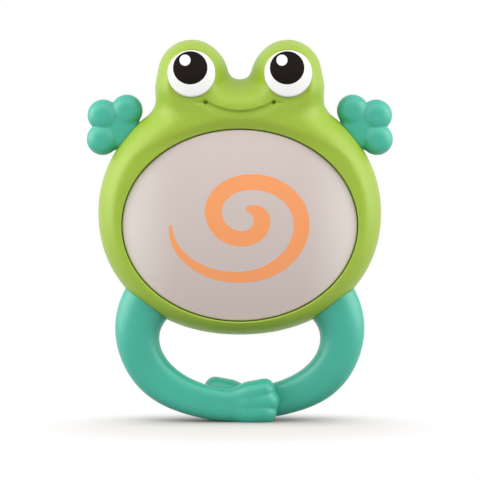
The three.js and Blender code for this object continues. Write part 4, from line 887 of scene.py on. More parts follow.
def leg_distance(points):
    """Distance from the left leg with its foot."""
    x, y, z = points[:, 0], points[:, 1], points[:, 2] - LOOP_Z
    angle = nearest_angle(x, z)
    width, depth, offset, lift, bulge = leg_shape(np.degrees(angle))
    cos, sin = np.cos(angle), np.sin(angle)
    run = np.hypot(LOOP_HALF_WIDTH * sin, LOOP_HALF_HEIGHT * cos)
    along_x, along_z = -LOOP_HALF_WIDTH * sin / run, LOOP_HALF_HEIGHT * cos / run
    away_x = x - LOOP_HALF_WIDTH * cos
    away_z = z - lift - LOOP_HALF_HEIGHT * sin
    across = away_x * along_z - away_z * along_x - bulge
    past = away_x * along_x + away_z * along_z
    to_foot = smooth_step(np.degrees(angle), LEG_ROOT_ANGLE, LEG_CROSS_END)
    square = between(LEG_ROOT_SQUARE, LEG_SQUARE, to_foot)
    near = (
        np.abs(2 * across / width) ** square
        + np.abs(2 * (y - offset) / depth) ** square
        + np.abs(past / FOOT_CAP) ** square
    ) ** (1 / square)
    return (near - 1) * np.minimum(width, depth) / 2


def toe_lines():
    """Root and tip of the middle lines of the left leg's three toes, from the lowest."""
    lines = []
    for place, lead in ((-1, 0), (0, TOE_LEAD), (1, 0)):
        root = np.array([TOE_ROOT_X, -LEG_CROSS, TOE_ROOT_Z + place * TOE_ROOT_PITCH])
        tip = np.array([TOE_END_X + lead - TOE_RADIUS, -LEG_CROSS, TOE_Z + place * TOE_PITCH])
        lines.append((root, tip))
    return lines


def toe_distance(points, root, tip):
    along = tip - root
    share = np.clip((points - root) @ along / (along @ along), 0, 1)
    away = points - root - np.outer(share, along)
    return np.linalg.norm(away * [1, TOE_RADIUS / TOE_HALF_DEPTH, 1], axis=1) - TOE_RADIUS


def leg_field(points):
    skin = leg_distance(points)
    toes = np.full(len(points), 1e3)
    for root, tip in toe_lines():
        toes = smooth_least(toes, toe_distance(points, root, tip), sizes().toe_crease / MM)
    return smooth_least(skin, toes, TOE_BLEND)


def half_turn(points):
    return points * np.array([-1, -1, 1])


def leg_rough():
    rings = []
    section = turns(LEG_SIDES)
    for angle in np.linspace(LEG_START_ANGLE, LEG_END_ANGLE, LEG_RINGS):
        width, depth, offset, lift, _ = leg_shape(angle)
        cos, sin = math.cos(math.radians(angle)), math.sin(math.radians(angle))
        centre = np.array([LOOP_HALF_WIDTH * cos, LOOP_Z + lift + LOOP_HALF_HEIGHT * sin])
        across = np.array([LOOP_HALF_HEIGHT * cos, LOOP_HALF_WIDTH * sin])
        across = across / np.linalg.norm(across)
        ring = centre + np.outer(np.cos(section) * width / 2, across)
        rings.append(on_plane(ring, offset + np.sin(section) * depth / 2))
    end = rings[-1].mean(axis=0)
    leg = [loft("leg", rings), rough_ball(end, (FOOT_CAP, LEG_ANKLE_DEPTH / 2, LEG_ANKLE_WIDTH / 2))]
    for root, tip in toe_lines():
        leg.extend(rough_ball(between(root, tip, share), TOE_RADII) for share in (0, 0.5, 1))
    other = [placed(duplicate(piece), Matrix.Rotation(math.pi, 4, "Z")) for piece in leg]
    return leg + other


def legs_mesh():
    def field(points):
        return smooth_least(leg_field(points), leg_field(half_turn(points)), LEG_MEET_BLEND)

    piece = drawn_skin(leg_rough(), LEG_VOXEL, field)
    points = mesh_points(piece.data)
    points[:, 2] = np.maximum(points[:, 2], 0.0)
    set_points(piece.data, points)
    return piece


# Panel and print


def dome_depth(x, z, edge=PANEL_EDGE):
    """Depth of the panel's crowned face."""
    half_x = PANEL_HALF_WIDTH - PANEL_ROUND
    half_z = PANEL_HALF_HEIGHT - PANEL_ROUND
    return edge + PANEL_RISE * (1 - (x / half_x) ** 2 - ((z - PANEL_Z) / half_z) ** 2)


def panel_blank():
    base = -PANEL_EDGE + PANEL_SKIRT
    rings = []
    for turn in np.linspace(0, math.pi / 2, PANEL_ROUND_STEPS):
        inset = PANEL_ROUND * (1 - math.cos(turn))
        line = oval(PANEL_HALF_WIDTH - inset, PANEL_HALF_HEIGHT - inset)
        rings.append(on_plane(line, -PANEL_EDGE + PANEL_ROUND * (1 - math.sin(turn))))
    shares = 1 - np.arange(1, PANEL_RINGS) / PANEL_RINGS
    for share in [*shares, PANEL_MIDDLE]:
        line = oval((PANEL_HALF_WIDTH - PANEL_ROUND) * share, (PANEL_HALF_HEIGHT - PANEL_ROUND) * share)
        rings.append(on_plane(line, -dome_depth(*line.T)))
    inner = []
    for share in [PANEL_MIDDLE, *reversed(shares), 1.0]:
        line = oval((PANEL_HALF_WIDTH - PANEL_WALL) * share, (PANEL_HALF_HEIGHT - PANEL_WALL) * share)
        inner.append(on_plane(line, -PANEL_EDGE + PANEL_WALL - PANEL_RISE * (1 - share**2)))
    foot = oval(PANEL_HALF_WIDTH - PANEL_WALL, PANEL_HALF_HEIGHT - PANEL_WALL)
    outer_foot = oval(PANEL_HALF_WIDTH, PANEL_HALF_HEIGHT)
    return loft("panel", [*inner, on_plane(foot, base), on_plane(outer_foot, base), *rings])


# The spiral's stroke from extreme to extreme: right, up from the panel's centre, and width
SPIRAL = [
    (3.9, 7.5, 2.6),
    (9.9, 1.9, 7.5),
    (0.95, -5.75, 6.8),
    (-11.75, 6.4, 7.5),
    (5.4, 19.55, 6.9),
    (27.55, 0.4, 7.0),
    (-0.9, -23.05, 4.75),
    (-30.75, -0.6, 1.5),
]
SPIRAL_STEPS = 28
TAIL_START = 5
TAIL_TAPER = 1.5
STROKE_POINTS = 9
STROKE_END_STEPS = 9
STROKE_TIP = 0.03
INK_ROOT = 0.02


def stroke_end(end, before):
    """Points that close a stroke with a round end."""
    ahead = end[:2] - before[:2]
    ahead = ahead / np.linalg.norm(ahead)
    return [
        (*(end[:2] + ahead * end[2] * math.sin(turn)), end[2] * max(math.cos(turn), STROKE_TIP))
        for turn in np.linspace(0, math.pi / 2, STROKE_END_STEPS)[1:]
    ]


def width_share(place, share):
    """How far a stretch of the stroke has come from its first width to its last."""
    if place == 0:
        return math.sin(share * math.pi / 2)
    return share**TAIL_TAPER if place >= TAIL_START else share


def spiral_line():
    """Points of the stroke's middle line with their half widths: quarter ovals from extreme to extreme."""
    points = []
    for place, (start, end) in enumerate(zip(SPIRAL, SPIRAL[1:])):
        centre = (start[0], end[1]) if place % 2 == 0 else (end[0], start[1])
        for share in np.linspace(0, 1, SPIRAL_STEPS, endpoint=place == len(SPIRAL) - 2):
            cos, sin = math.cos(share * math.pi / 2), math.sin(share * math.pi / 2)
            right, up = (c + (s - c) * cos + (e - c) * sin for c, s, e in zip(centre, start, end))
            points.append((right, up, between(start[2], end[2], width_share(place, share)) / 2))
    line = np.array(points)
    return np.array([*reversed(stroke_end(line[0], line[1])), *line, *stroke_end(line[-1], line[-2])])


def spiral_mesh():
    line = spiral_line()
    along = np.gradient(line[:, :2], axis=0)
    along /= np.linalg.norm(along, axis=1, keepdims=True)
    across = np.stack([-along[:, 1], along[:, 0]], 1)
    height = sizes().print_height / MM
    rings = []
    for (right, up, half), side in zip(line, across):
        stroke = np.outer(np.linspace(-half, half, STROKE_POINTS), side) + [right, up + PANEL_Z]
        depth = dome_depth(*stroke.T)
        top, under = on_plane(stroke, -depth - height), on_plane(stroke, -depth + INK_ROOT)
        rings.append(np.concatenate([top, under[::-1]]))
    return loft("spiral", rings)


# Shader and geometry graphs


class Wire:
    """A socket's value, for sums."""

    def __init__(self, graph, socket):
        self.graph = graph
        self.socket = socket

    def _sum(self, operation, *values):
        return self.graph.node("ShaderNodeMath", {"operation": operation}, dict(enumerate(values)))

    def __add__(self, other):
        return self._sum("ADD", self, other)

    __radd__ = __add__

    def __sub__(self, other):
        return self._sum("SUBTRACT", self, other)

    def __rsub__(self, other):
        return self._sum("SUBTRACT", other, self)

    def __mul__(self, other):
        return self._sum("MULTIPLY", self, other)

    __rmul__ = __mul__

    def __gt__(self, other):
        return self._sum("GREATER_THAN", self, other)


class Graph:
    """A node tree that is written as calls."""

    def __init__(self, tree):
        self.tree = tree

    def node(self, kind, settings=None, inputs=None, output=0):
        made = self.tree.nodes.new(kind)
        for key, value in (settings or {}).items():
            setattr(made, key, value)
        self.feed(made, inputs or {})
        return Wire(self, made.outputs[output])

    def feed(self, made, inputs):
        for key, value in inputs.items():
            if isinstance(value, Wire):
                self.tree.links.new(value.socket, made.inputs[key])
            else:
                made.inputs[key].default_value = value


class Finish(Graph):
    """One material's graph, round a Principled shader."""

    def __init__(self, name, constants=None):
        self.material = bpy.data.materials.new(name)
        self.material.use_nodes = True
        super().__init__(self.material.node_tree)
        self.shader = self.tree.nodes["Principled BSDF"]
        self.place = self.node("ShaderNodeTexCoord", output="Object")
        self.feed(self.shader, constants or {})

    def set(self, **inputs):
        self.feed(self.shader, inputs)

    def paint(self, colour):
        self.feed(self.shader, {"Base Color": colour})

    def colour(self):
        """What the shader's colour is fed by so far."""
        return Wire(self, self.shader.inputs["Base Color"].links[0].from_socket)

    def axes(self):
        """Wires of x, y and z."""
        outputs = self.node("ShaderNodeSeparateXYZ", {}, {0: self.place}).socket.node.outputs
        return [Wire(self, socket) for socket in outputs]

    def noise(self, scale, detail=2.0, roughness=0.5):
        values = {"Vector": self.place, "Scale": scale, "Detail": detail, "Roughness": roughness}
        return self.node("ShaderNodeTexNoise", {}, values)

    def step(self, value, low, high):
        """A value's share of the way from low to high, kept between 0 and 1."""
        limits = {"Value": value, 1: low, 2: high}
        return self.node("ShaderNodeMapRange", {"interpolation_type": "SMOOTHSTEP"}, limits)

    def mix(self, share, a, b):
        return self.node("ShaderNodeMix", {"data_type": "RGBA"}, {0: share, 6: a, 7: b}, 2)

    def bump(self, height, strength, distance):
        values = {"Height": height, "Strength": strength, "Distance": distance * MM}
        self.set(Normal=self.node("ShaderNodeBump", {}, values))


# Finishes: the clouds and the fine skin of moulded pieces, and the panel's painted highlight and painted
# shade
CLOUD_SCALE = 45.0
CLOUD_GLOSS = 0.08
CLOUD_RELIEF = 2.0
SKIN_GLOSS = 0.05
SKIN_BUMP = 0.5
# The panel's painted light: where its painted side highlight starts, and how much lighter its top and darker
# its foot are painted.
PANEL_SIDE_HIGHLIGHT_START = 0.45
PANEL_PAINTED_TOP_LIGHT = 1.06
PANEL_PAINTED_FOOT_SHADE = 0.93


def shade(colour, factor):
    """A colour made lighter or darker."""
    return (*(min(value * factor, 1.0) for value in colour[:3]), 1.0)


def moulded(name, colour, roughness, variation=0.03, grain=1500.0, relief=0.012, constants=None):
    """Moulded plastic or rubber: faint clouds of colour and gloss, and a fine skin."""
    finish = Finish(name, constants)
    clouds = finish.noise(CLOUD_SCALE, 3.0)
    skin = finish.noise(grain, 2.0)
    finish.paint(finish.mix(clouds, shade(colour, 1 - variation), shade(colour, 1 + variation)))
    finish.set(Roughness=roughness + (clouds - 0.5) * CLOUD_GLOSS + (skin - 0.5) * SKIN_GLOSS)
    finish.bump(skin + clouds * CLOUD_RELIEF, SKIN_BUMP, relief)
    return finish


FINISHES = {}


def finish_of(name):
    """The named finish, made when it is first asked for."""
    if name not in FINISHES:
        finish = inner_finish(name, **INNER_LOOKS[name]) if name in INNER_LOOKS else FINISH_MAKERS[name]()
        FINISHES[name] = finish.material
    return FINISHES[name]


def shell_green():
    return moulded("shell_green", colours().shell, 0.42)


def panel_milk():
    """Milky plastic with a painted highlight towards its left and right edge, painted light at its top and
    painted shade at its foot.
    """
    finish = moulded("panel_milk", colours().panel, 0.34, variation=0.012)
    across, _, up = finish.axes()
    start, end = PANEL_SIDE_HIGHLIGHT_START * PANEL_HALF_WIDTH * MM, PANEL_HALF_WIDTH * MM
    # Painted highlight: the colour turns lighter towards the panel's left and right edge.
    edge = finish.step(across * across, start**2, end**2)
    # Painted light and shade: lighter at the panel's top, darker at its foot.
    foot = finish.step(up, PANEL_HIGH[2] * MM, PANEL_LOW[2] * MM)
    painted_top_light = shade(colours().panel, PANEL_PAINTED_TOP_LIGHT)
    painted_foot_shade = shade(colours().panel, PANEL_PAINTED_FOOT_SHADE)
    middle = finish.mix(foot, painted_top_light, painted_foot_shade)
    finish.paint(finish.mix(edge, finish.mix(0.5, finish.colour(), middle), colours().panel_side_highlight))
    return finish


def spiral_ink():
    return moulded("spiral_ink", colours().spiral, 0.4, variation=0.02)


def rubber_teal():
    sheen = {"Specular IOR Level": 0.8}
    return moulded("rubber_teal", colours().rubber, 0.42, grain=2200.0, relief=0.02, constants=sheen)


def eye_white():
    return moulded("eye_white", colours().eye, 0.2, variation=0.008)


def pupil_black():
    """Printed black with a white glint on each pupil."""
    matt = {"Specular IOR Level": 0.08}
    finish = moulded("pupil_black", colours().pupil, 0.5, variation=0.1, constants=matt)
    across, _, up = finish.axes()
    eye = (across > 0.0) * (2 * EYE_X * MM) - EYE_X * MM
    right = across - eye - (PUPIL_X + GLINT_X) * MM
    above = up - (EYE_Z + PUPIL_UP + GLINT_UP) * MM
    away = finish.node("ShaderNodeMath", {"operation": "SQRT"}, {0: right * right + above * above})
    soft = GLINT_SOFTNESS
    glint = finish.step(away, (GLINT_RADIUS + soft) * MM, (GLINT_RADIUS - soft) * MM)
    finish.paint(finish.mix(glint, finish.colour(), colours().eye))
    return finish


def steel():
    finish = Finish("steel", {"Metallic": 1.0})
    clouds = finish.noise(700.0, 3.0)
    finish.paint(finish.mix(clouds, srgb(150, 150, 152), srgb(196, 196, 198)))
    finish.set(Roughness=0.28 + clouds * 0.12)
    finish.bump(finish.noise(2600.0), 0.3, 0.01)
    return finish


def inner_finish(name, paint, roughness, metallic=0.0, variation=0.08):
    return moulded(name, srgb(*paint), roughness, variation, constants={"Metallic": metallic})


FINISH_MAKERS = {
    maker.__name__: maker
    for maker in (shell_green, panel_milk, spiral_ink, rubber_teal, eye_white, pupil_black, steel)
}

INNER_LOOKS = {
    "board": {"paint": (28, 92, 58), "roughness": 0.35},
    "dark_plastic": {"paint": (38, 38, 40), "roughness": 0.45},
    "paper_cone": {"paint": (44, 42, 42), "roughness": 0.8, "variation": 0.2},
    "lamp_clear": {"paint": (232, 232, 226), "roughness": 0.12},
    "cell_sleeve": {"paint": (52, 56, 62), "roughness": 0.3},
    "contact_metal": {"paint": (196, 190, 176), "roughness": 0.3, "metallic": 1.0},
    "red_lead": {"paint": (176, 32, 30), "roughness": 0.5},
    "black_lead": {"paint": (26, 26, 28), "roughness": 0.5},
}

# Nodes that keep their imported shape, by finish
INNER_PIECES = {
    "steel": ("retainer_screw", "speaker_basket"),
    "board": ("circuit_board",),
    "dark_plastic": (
        "tap_switch_base",
        "tap_switch_plunger",
        "sound_chip",
        "speaker_magnet",
        "speaker_retainer",
        "power_switch_body",
    ),
    "lamp_clear": ("lamp",),
    "paper_cone": ("speaker_cone",),
    "contact_metal": ("bridge_contact", "plus_contact", "minus_contact"),
    "red_lead": ("speaker_lead_1", "battery_lead_1"),
    "black_lead": ("speaker_lead_2", "battery_lead_2"),
}
INNER_FINISHES = {piece: finish for finish, pieces in INNER_PIECES.items() for piece in pieces}


def group_of(start):
    """Names of the nodes that begin with a word."""
    return [name for name in sorted(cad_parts) if name.startswith(start)]


def places_of(group):
    """Middles of a group's nodes, as x and z."""
    return [node_middle(name)[[0, 2]] for name in group_of(group)]


# Geometry trees


def new_tree(name, inputs):
    """A geometry tree's graph and a wire for each of its named inputs."""
    tree = bpy.data.node_groups.new(name, "GeometryNodeTree")
    tree.interface.new_socket("Geometry", in_out="INPUT", socket_type="NodeSocketGeometry")
    for label, kind in inputs.items():
        tree.interface.new_socket(label, in_out="INPUT", socket_type=f"NodeSocket{kind}")
    tree.interface.new_socket("Geometry", in_out="OUTPUT", socket_type="NodeSocketGeometry")
    graph = Graph(tree)
    given = tree.nodes.new("NodeGroupInput")
    return graph, {socket.name: Wire(graph, socket) for socket in given.outputs if socket.name}


def end_tree(graph, given, instance, turn):
    """Sets an instance on each point, realized and with its material."""
    placing = {"Points": given["Geometry"], "Instance": instance, "Rotation": turn}
    spread = graph.node("GeometryNodeInstanceOnPoints", {}, placing)
    real = graph.node("GeometryNodeRealizeInstances", {}, {0: spread})
    done = graph.node("GeometryNodeSetMaterial", {}, {"Geometry": real, "Material": given["Material"]})
    graph.feed(graph.tree.nodes.new("NodeGroupOutput"), {0: done})
    return graph.tree


def lifted(graph, geometry, up):
    place = graph.node("ShaderNodeCombineXYZ", {}, {"Z": up})
    return graph.node("GeometryNodeTransform", {}, {"Geometry": geometry, "Translation": place})


def screw_tree():
    """Cross-headed screws with their heads' tops on the points, facing back."""
    lengths = ("Head radius", "Head height", "Shank radius", "Shank length")
    inputs = {**dict.fromkeys(lengths, "Float"), "Seed": "Int", "Material": "Material"}
    graph, given = new_tree("screws", inputs)
    radius, height, shank_radius, length = (given[name] for name in lengths)
    cone = {"Vertices": 40, "Radius Top": radius * HEAD_TAPER, "Radius Bottom": radius, "Depth": height}
    head = lifted(graph, graph.node("GeometryNodeMeshCone", {}, cone), height * -1.0)
    for half_x, half_y in ((RECESS_LONG, RECESS_SHORT), (RECESS_SHORT, RECESS_LONG)):
        sides = {0: radius * 2 * half_x, 1: radius * 2 * half_y, 2: height * RECESS_HEIGHT}
        size = graph.node("ShaderNodeCombineXYZ", {}, sides)
        cut = graph.node("GeometryNodeMeshCube", {}, {"Size": size})
        meshes = {"Mesh 1": head, "Mesh 2": cut}
        head = graph.node("GeometryNodeMeshBoolean", {"operation": "DIFFERENCE"}, meshes)
    rod = {"Vertices": 24, "Radius": shank_radius, "Depth": length}
    shank = lifted(graph, graph.node("GeometryNodeMeshCylinder", {}, rod), height * -1.0 - length * 0.5)
    whole = graph.node("GeometryNodeJoinGeometry", {}, {0: head})
    graph.feed(whole.socket.node, {0: shank})
    limits = {2: 0.0, 3: math.tau, "Seed": given["Seed"]}
    spin = graph.node("FunctionNodeRandomValue", {"data_type": "FLOAT"}, limits, 1)
    turn = graph.node("ShaderNodeCombineXYZ", {}, {0: -math.pi / 2, 1: spin})
    return end_tree(graph, given, whole, turn)


def spring_tree():
    """Wire springs that start on the points."""
    lengths = ("Start radius", "End radius", "Height", "Wire")
    inputs = {**dict.fromkeys(lengths, "Float"), "Turns": "Float", "Turn": "Vector", "Material": "Material"}
    graph, given = new_tree("springs", inputs)
    shape = {"Resolution": 36, "Rotations": given["Turns"], "Height": given["Height"]}
    ends = {"Start Radius": given["Start radius"], "End Radius": given["End radius"]}
    coil = graph.node("GeometryNodeCurveSpiral", {}, {**shape, **ends})
    section = {"Resolution": 14, "Radius": given["Wire"] * 0.5}
    ring = graph.node("GeometryNodeCurvePrimitiveCircle", {}, section)
    sweep = {"Curve": coil, "Profile Curve": ring, "Fill Caps": True}
    tube = graph.node("GeometryNodeCurveToMesh", {}, sweep)
    return end_tree(graph, given, tube, given["Turn"])


def grown(name, tree, points, lengths, **values):
    """A mesh that a geometry tree makes on points and from lengths in millimetres."""
    mesh = bpy.data.meshes.new(name)
    mesh.from_pydata((np.asarray(points) * MM).tolist(), [], [])
    piece = add_object(name, mesh)
    modifier = piece.modifiers.new("grow", "NODES")
    modifier.node_group = tree
    values.update({key.replace("_", " "): value * MM for key, value in lengths.items()})
    for socket in tree.interface.items_tree:
        if socket.in_out == "INPUT" and socket.name in values:
            modifier[socket.identifier] = values[socket.name]
    return applied(piece)


# Operators


class FROG_OT_front_shell(bpy.types.Operator):
    """Makes the front shell with its face, smile, eye sockets, drum recess and screw bosses"""

    bl_idname = "frog.front_shell"
    bl_label = "Front shell"

    def boss(self, x, z):
        under_cup = opening_distance(x, z) < CUP_WALL
        start = FLOOR_DEPTH - FLOOR_THICK / 2 if under_cup else front_depth(x, z, -WALL) + WALL / 2
        return bar(x, z, BOSS_RADIUS, -float(start), BOSS_END)

    def execute(self, context):
        piece = front_shell_blank()
        screws = places_of("shell_screw")
        carve(piece, "UNION", *(self.boss(x, z) for x, z in screws))
        sockets = [
            placed(bar(0, 0, EYE_RADIUS + EYE_GAP, -EYE_FRONT, EYE_STEM, ROUND_SIDES), eye_place(x))
            for x in (EYE_X, -EYE_X)
        ]
        windows = [
            *(bar(x, z, POST_RADIUS + FIT, -PANEL_TOP, 0) for x, z in places_of("panel_screw")),
            *(bar(x, z, LAMP_WINDOW, -PANEL_TOP, 0) for x, z in places_of("lamp")),
            bar(0, PANEL_Z, TAP_WINDOW, -PANEL_TOP, 0),
        ]
        pilots = [bar(x, z, PILOT_HOLE, -SCREW_REACH, BOSS_END + PAST) for x, z in screws]
        carve(piece, "DIFFERENCE", *sockets, *windows, *pilots)
        skin_of("front_shell", piece, "casing", "green_shell", "shell_green")
        return {"FINISHED"}


def grille_slots():
    slots = []
    for place in range(GRILLE_SLOTS):
        z = (place - (GRILLE_SLOTS - 1) / 2) * 2 * GRILLE_RADIUS / GRILLE_SLOTS
        half = math.sqrt(GRILLE_RADIUS**2 - z**2)
        outline = rounded(0, SPEAKER_Z + z, half, GRILLE_SLOT_HALF, GRILLE_SLOT_HALF)
        slots.append(prism(outline, BACK_DEPTH - WALL - PAST, BACK_DEPTH + PAST))
    return slots


def door_outline(grow):
    """The door's outline with a round lug at each end, grown."""
    half_x = DOOR_LUG_X - DOOR_LUG_OUT + grow
    lug = DOOR_LUG_RADIUS + grow
    meet = math.acos((half_x - DOOR_LUG_X) / lug)
    right = [
        [DOOR_LUG_X + lug * math.cos(turn), BAY_Z + lug * math.sin(turn)]
        for turn in np.linspace(-meet, meet, LUG_STEPS)
    ]
    left = [[-x, z] for x, z in reversed(right)]
    box = rounded(0, BAY_Z, half_x, DOOR_HALF_HEIGHT + grow, DOOR_CORNER + grow)
    half = len(box) // 2
    return np.array([*right, *box[:half], *left, *box[half:]])


class FROG_OT_rear_shell(bpy.types.Operator):
    """Makes the rear shell with its screw holes, battery bay, speaker grille and switch opening"""

    bl_idname = "frog.rear_shell"
    bl_label = "Rear shell"

    def execute(self, context):
        piece = rear_shell_blank()
        places = places_of("shell_screw")
        tubes = [
            bar(x, z, HEAD_HOLE + TUBE_WALL, TUBE_FRONT, float(back_depth(x, z, -WALL)) + FIT)
            for x, z in places
        ]
        inside = BACK_DEPTH - WALL
        back = BACK_DEPTH + PAST
        bay = prism(door_outline(FIT + BAY_WALL), BAY_FLOOR_Y - BAY_WALL, inside + FIT)
        carve(piece, "UNION", *tubes, bay)
        bay_space = rounded(0, BAY_Z, BAY_HALF_WIDTH, BAY_HALF_HEIGHT, BAY_CORNER)
        carve(piece, "DIFFERENCE", prism(bay_space, BAY_FLOOR_Y, back))
        carve(piece, "DIFFERENCE", prism(door_outline(FIT), DOOR_INSIDE - DOOR_PLAY, back))
        heads = [bar(x, z, HEAD_HOLE, TUBE_SEAT, back, HEAD_SIDES) for x, z in places]
        carve(piece, "DIFFERENCE", *heads, *grille_slots())
        holes = [bar(x, z, PILOT_HOLE, TUBE_FRONT - PAST, TUBE_SEAT + FIT) for x, z in places]
        holes.extend(bar(x, z, PILOT_HOLE, DOOR_INSIDE - DOOR_HOLE, back) for x, z in places_of("door_screw"))
        carve(piece, "DIFFERENCE", *holes)
        half_x, half_z = SWITCH_HALF_X + DISH_MARGIN, SWITCH_HALF_Z + DISH_MARGIN
        dish = rounded(SWITCH_X, SWITCH_Z, half_x, half_z, DISH_MARGIN)
        carve(piece, "DIFFERENCE", prism(dish, BACK_DEPTH - DISH_DEPTH, back))
        slot = rounded(SWITCH_X, SWITCH_Z, SWITCH_HALF_X, SWITCH_HALF_Z, SWITCH_CORNER)
        carve(piece, "DIFFERENCE", prism(slot, inside - PAST, back))
        skin_of("rear_shell", piece, "casing", "green_shell", "shell_green")
        return {"FINISHED"}


class FROG_OT_panel(bpy.types.Operator):
    """Makes the crowned belly panel with its screw posts and striker, and the spiral printed on it"""

    bl_idname = "frog.panel"
    bl_label = "Belly panel"

    def execute(self, context):
        panel = panel_blank()
        screws = places_of("panel_screw")
        posts = [bar(x, z, POST_RADIUS, 1 - float(dome_depth(x, z)), PANEL_HIGH[1]) for x, z in screws]
        striker = bar(0, PANEL_Z, STRIKER_RADIUS, 1 - PANEL_TOP, STRIKER_END)
        carve(panel, "UNION", *posts, striker)
        pilots = [bar(x, z, PILOT_HOLE, -PANEL_EDGE, PANEL_HIGH[1] + PAST) for x, z in screws]
        carve(panel, "DIFFERENCE", *pilots)
        skin_of("belly_panel", panel, "panel", "milky_panel", "panel_milk")
        dress(smooth(spiral_mesh()), "spiral_print", "panel", "milky_panel", finish_of("spiral_ink"))
        return {"FINISHED"}


def eye_profile():
    """Radius and y from the top of the dome, round its edge, to the flat underside."""
    shares = np.linspace(0, EYE_DOME_REACH, EYE_RINGS)
    dome = [(EYE_RADIUS * share, -EYE_EDGE - EYE_DOME * (1 - share**2)) for share in shares]
    bend = [
        (EYE_RADIUS - EYE_BEND * (1 - math.sin(turn)), -EYE_EDGE + EYE_BEND * (1 - math.cos(turn)))
        for turn in np.linspace(0.5, math.pi / 2, 5)
    ]
    return [*dome, *bend, (EYE_RADIUS, EYE_STEM), (0, EYE_STEM)]


class FROG_OT_eyes(bpy.types.Operator):
    """Makes the domed eye inserts and the pupils let into them"""

    bl_idname = "frog.eyes"
    bl_label = "Eyes"

    def execute(self, context):
        for side, x in (("left", -EYE_X), ("right", EYE_X)):
            white = turned("eye", eye_profile())
            black = duplicate(white)
            pocket = bar(PUPIL_X, PUPIL_UP, PUPIL_RADIUS + EYE_GAP, -EYE_FRONT, -PUPIL_FLOOR, ROUND_SIDES)
            carve(white, "DIFFERENCE", pocket)
            disc = bar(PUPIL_X, PUPIL_UP, PUPIL_RADIUS, -EYE_FRONT, -PUPIL_FLOOR - PUPIL_PLAY, ROUND_SIDES)
            carve(black, "INTERSECT", disc)
            shift = eye_place(x) @ Matrix.Translation((0, -EYE_LIFT * MM, 0))
            skin_of(f"{side}_eye", placed(white, shift), "casing", "eye_white", "eye_white")
            skin_of(f"{side}_pupil", placed(black, shift), "casing", "pupil_black", "pupil_black")
        return {"FINISHED"}


class FROG_OT_hands(bpy.types.Operator):
    """Makes the two soft hands, cut to lie against the shells"""

    bl_idname = "frog.hands"
    bl_label = "Hands"

    def execute(self, context):
        left = hand_mesh()
        carve(left, "DIFFERENCE", whole_body(SOFT_GAP))
        right = duplicate(left, mirror=True)
        for side, piece in (("left", left), ("right", right)):
            skin_of(f"{side}_hand", piece, "casing", "teal_rubber", "rubber_teal", 50)
        return {"FINISHED"}


class FROG_OT_legs(bpy.types.Operator):
    """Makes the soft loop of two crossed legs, cut to lie against the shells"""

    bl_idname = "frog.legs"
    bl_label = "Leg loop"

    def execute(self, context):
        piece = legs_mesh()
        carve(piece, "DIFFERENCE", whole_body(SOFT_GAP))
        skin_of("leg_loop", piece, "casing", "teal_rubber", "rubber_teal", 50)
        return {"FINISHED"}


class FROG_OT_door(bpy.types.Operator):
    """Makes the battery door with round edges, screw seats and a grip"""

    bl_idname = "frog.door"
    bl_label = "Battery door"

    def execute(self, context):
        rings = [on_plane(door_outline(0), DOOR_INSIDE)]
        for turn in np.linspace(0, math.pi / 2, 6):
            inset = DOOR_BEVEL * (1 - math.cos(turn))
            rings.append(on_plane(door_outline(-inset), DOOR_OUTSIDE - DOOR_BEVEL * (1 - math.sin(turn))))
        piece = loft("door", rings)
        back = DOOR_OUTSIDE + PAST
        places = places_of("door_screw")
        seats = [bar(x, z, HEAD_HOLE, DOOR_OUTSIDE - DOOR_SEAT, back, HEAD_SIDES) for x, z in places]
        carve(piece, "DIFFERENCE", *seats, *(self.groove(k, back) for k in range(GRIP_GROOVES)))
        carve(piece, "DIFFERENCE", *(bar(x, z, PILOT_HOLE, DOOR_INSIDE - PAST, back) for x, z in places))
        skin_of("battery_door", piece, "door", "green_shell", "shell_green")
        return {"FINISHED"}

    def groove(self, place, back):
        z = BAY_Z + (place - (GRIP_GROOVES - 1) / 2) * GRIP_PITCH
        return prism(rounded(0, z, GRIP_HALF_WIDTH, GRIP_HALF, GRIP_HALF), DOOR_OUTSIDE - GRIP_DEPTH, back)


class FROG_OT_switch_knob(bpy.types.Operator):
    """Makes the ribbed knob of the power switch"""

    bl_idname = "frog.switch_knob"
    bl_label = "Switch knob"

    def execute(self, context):
        low, high = node_box("power_switch_knob")
        x, _, z = (low + high) / 2
        base = rounded(x, z, (high[0] - low[0]) / 2, (high[2] - low[2]) / 2, KNOB_BASE_CORNER)
        piece = prism(base, low[1], KNOB_BASE_END)
        levels = [(0, low[1] + KNOB_OVERLAP), *((inset, high[1] - drop) for inset, drop in KNOB_EDGE)]
        grip = [
            on_plane(rounded(x, z, KNOB_HALF_X - inset, KNOB_HALF_Z - inset, KNOB_CORNER), y)
            for inset, y in levels
        ]
        carve(piece, "UNION", loft("grip", grip))
        grooves = []
        for place in range(KNOB_RIBS):
            across = x + (place - (KNOB_RIBS - 1) / 2) * KNOB_RIB_PITCH
            outline = rounded(across, z, KNOB_RIB_HALF, KNOB_RIB_REACH, KNOB_RIB_CORNER)
            grooves.append(prism(outline, high[1] - KNOB_RIB_DEPTH, high[1] + PAST))
        carve(piece, "DIFFERENCE", *grooves)
        skin_of("power_switch_knob", piece, "switch_knob", "dark_plastic", "dark_plastic")
        return {"FINISHED"}


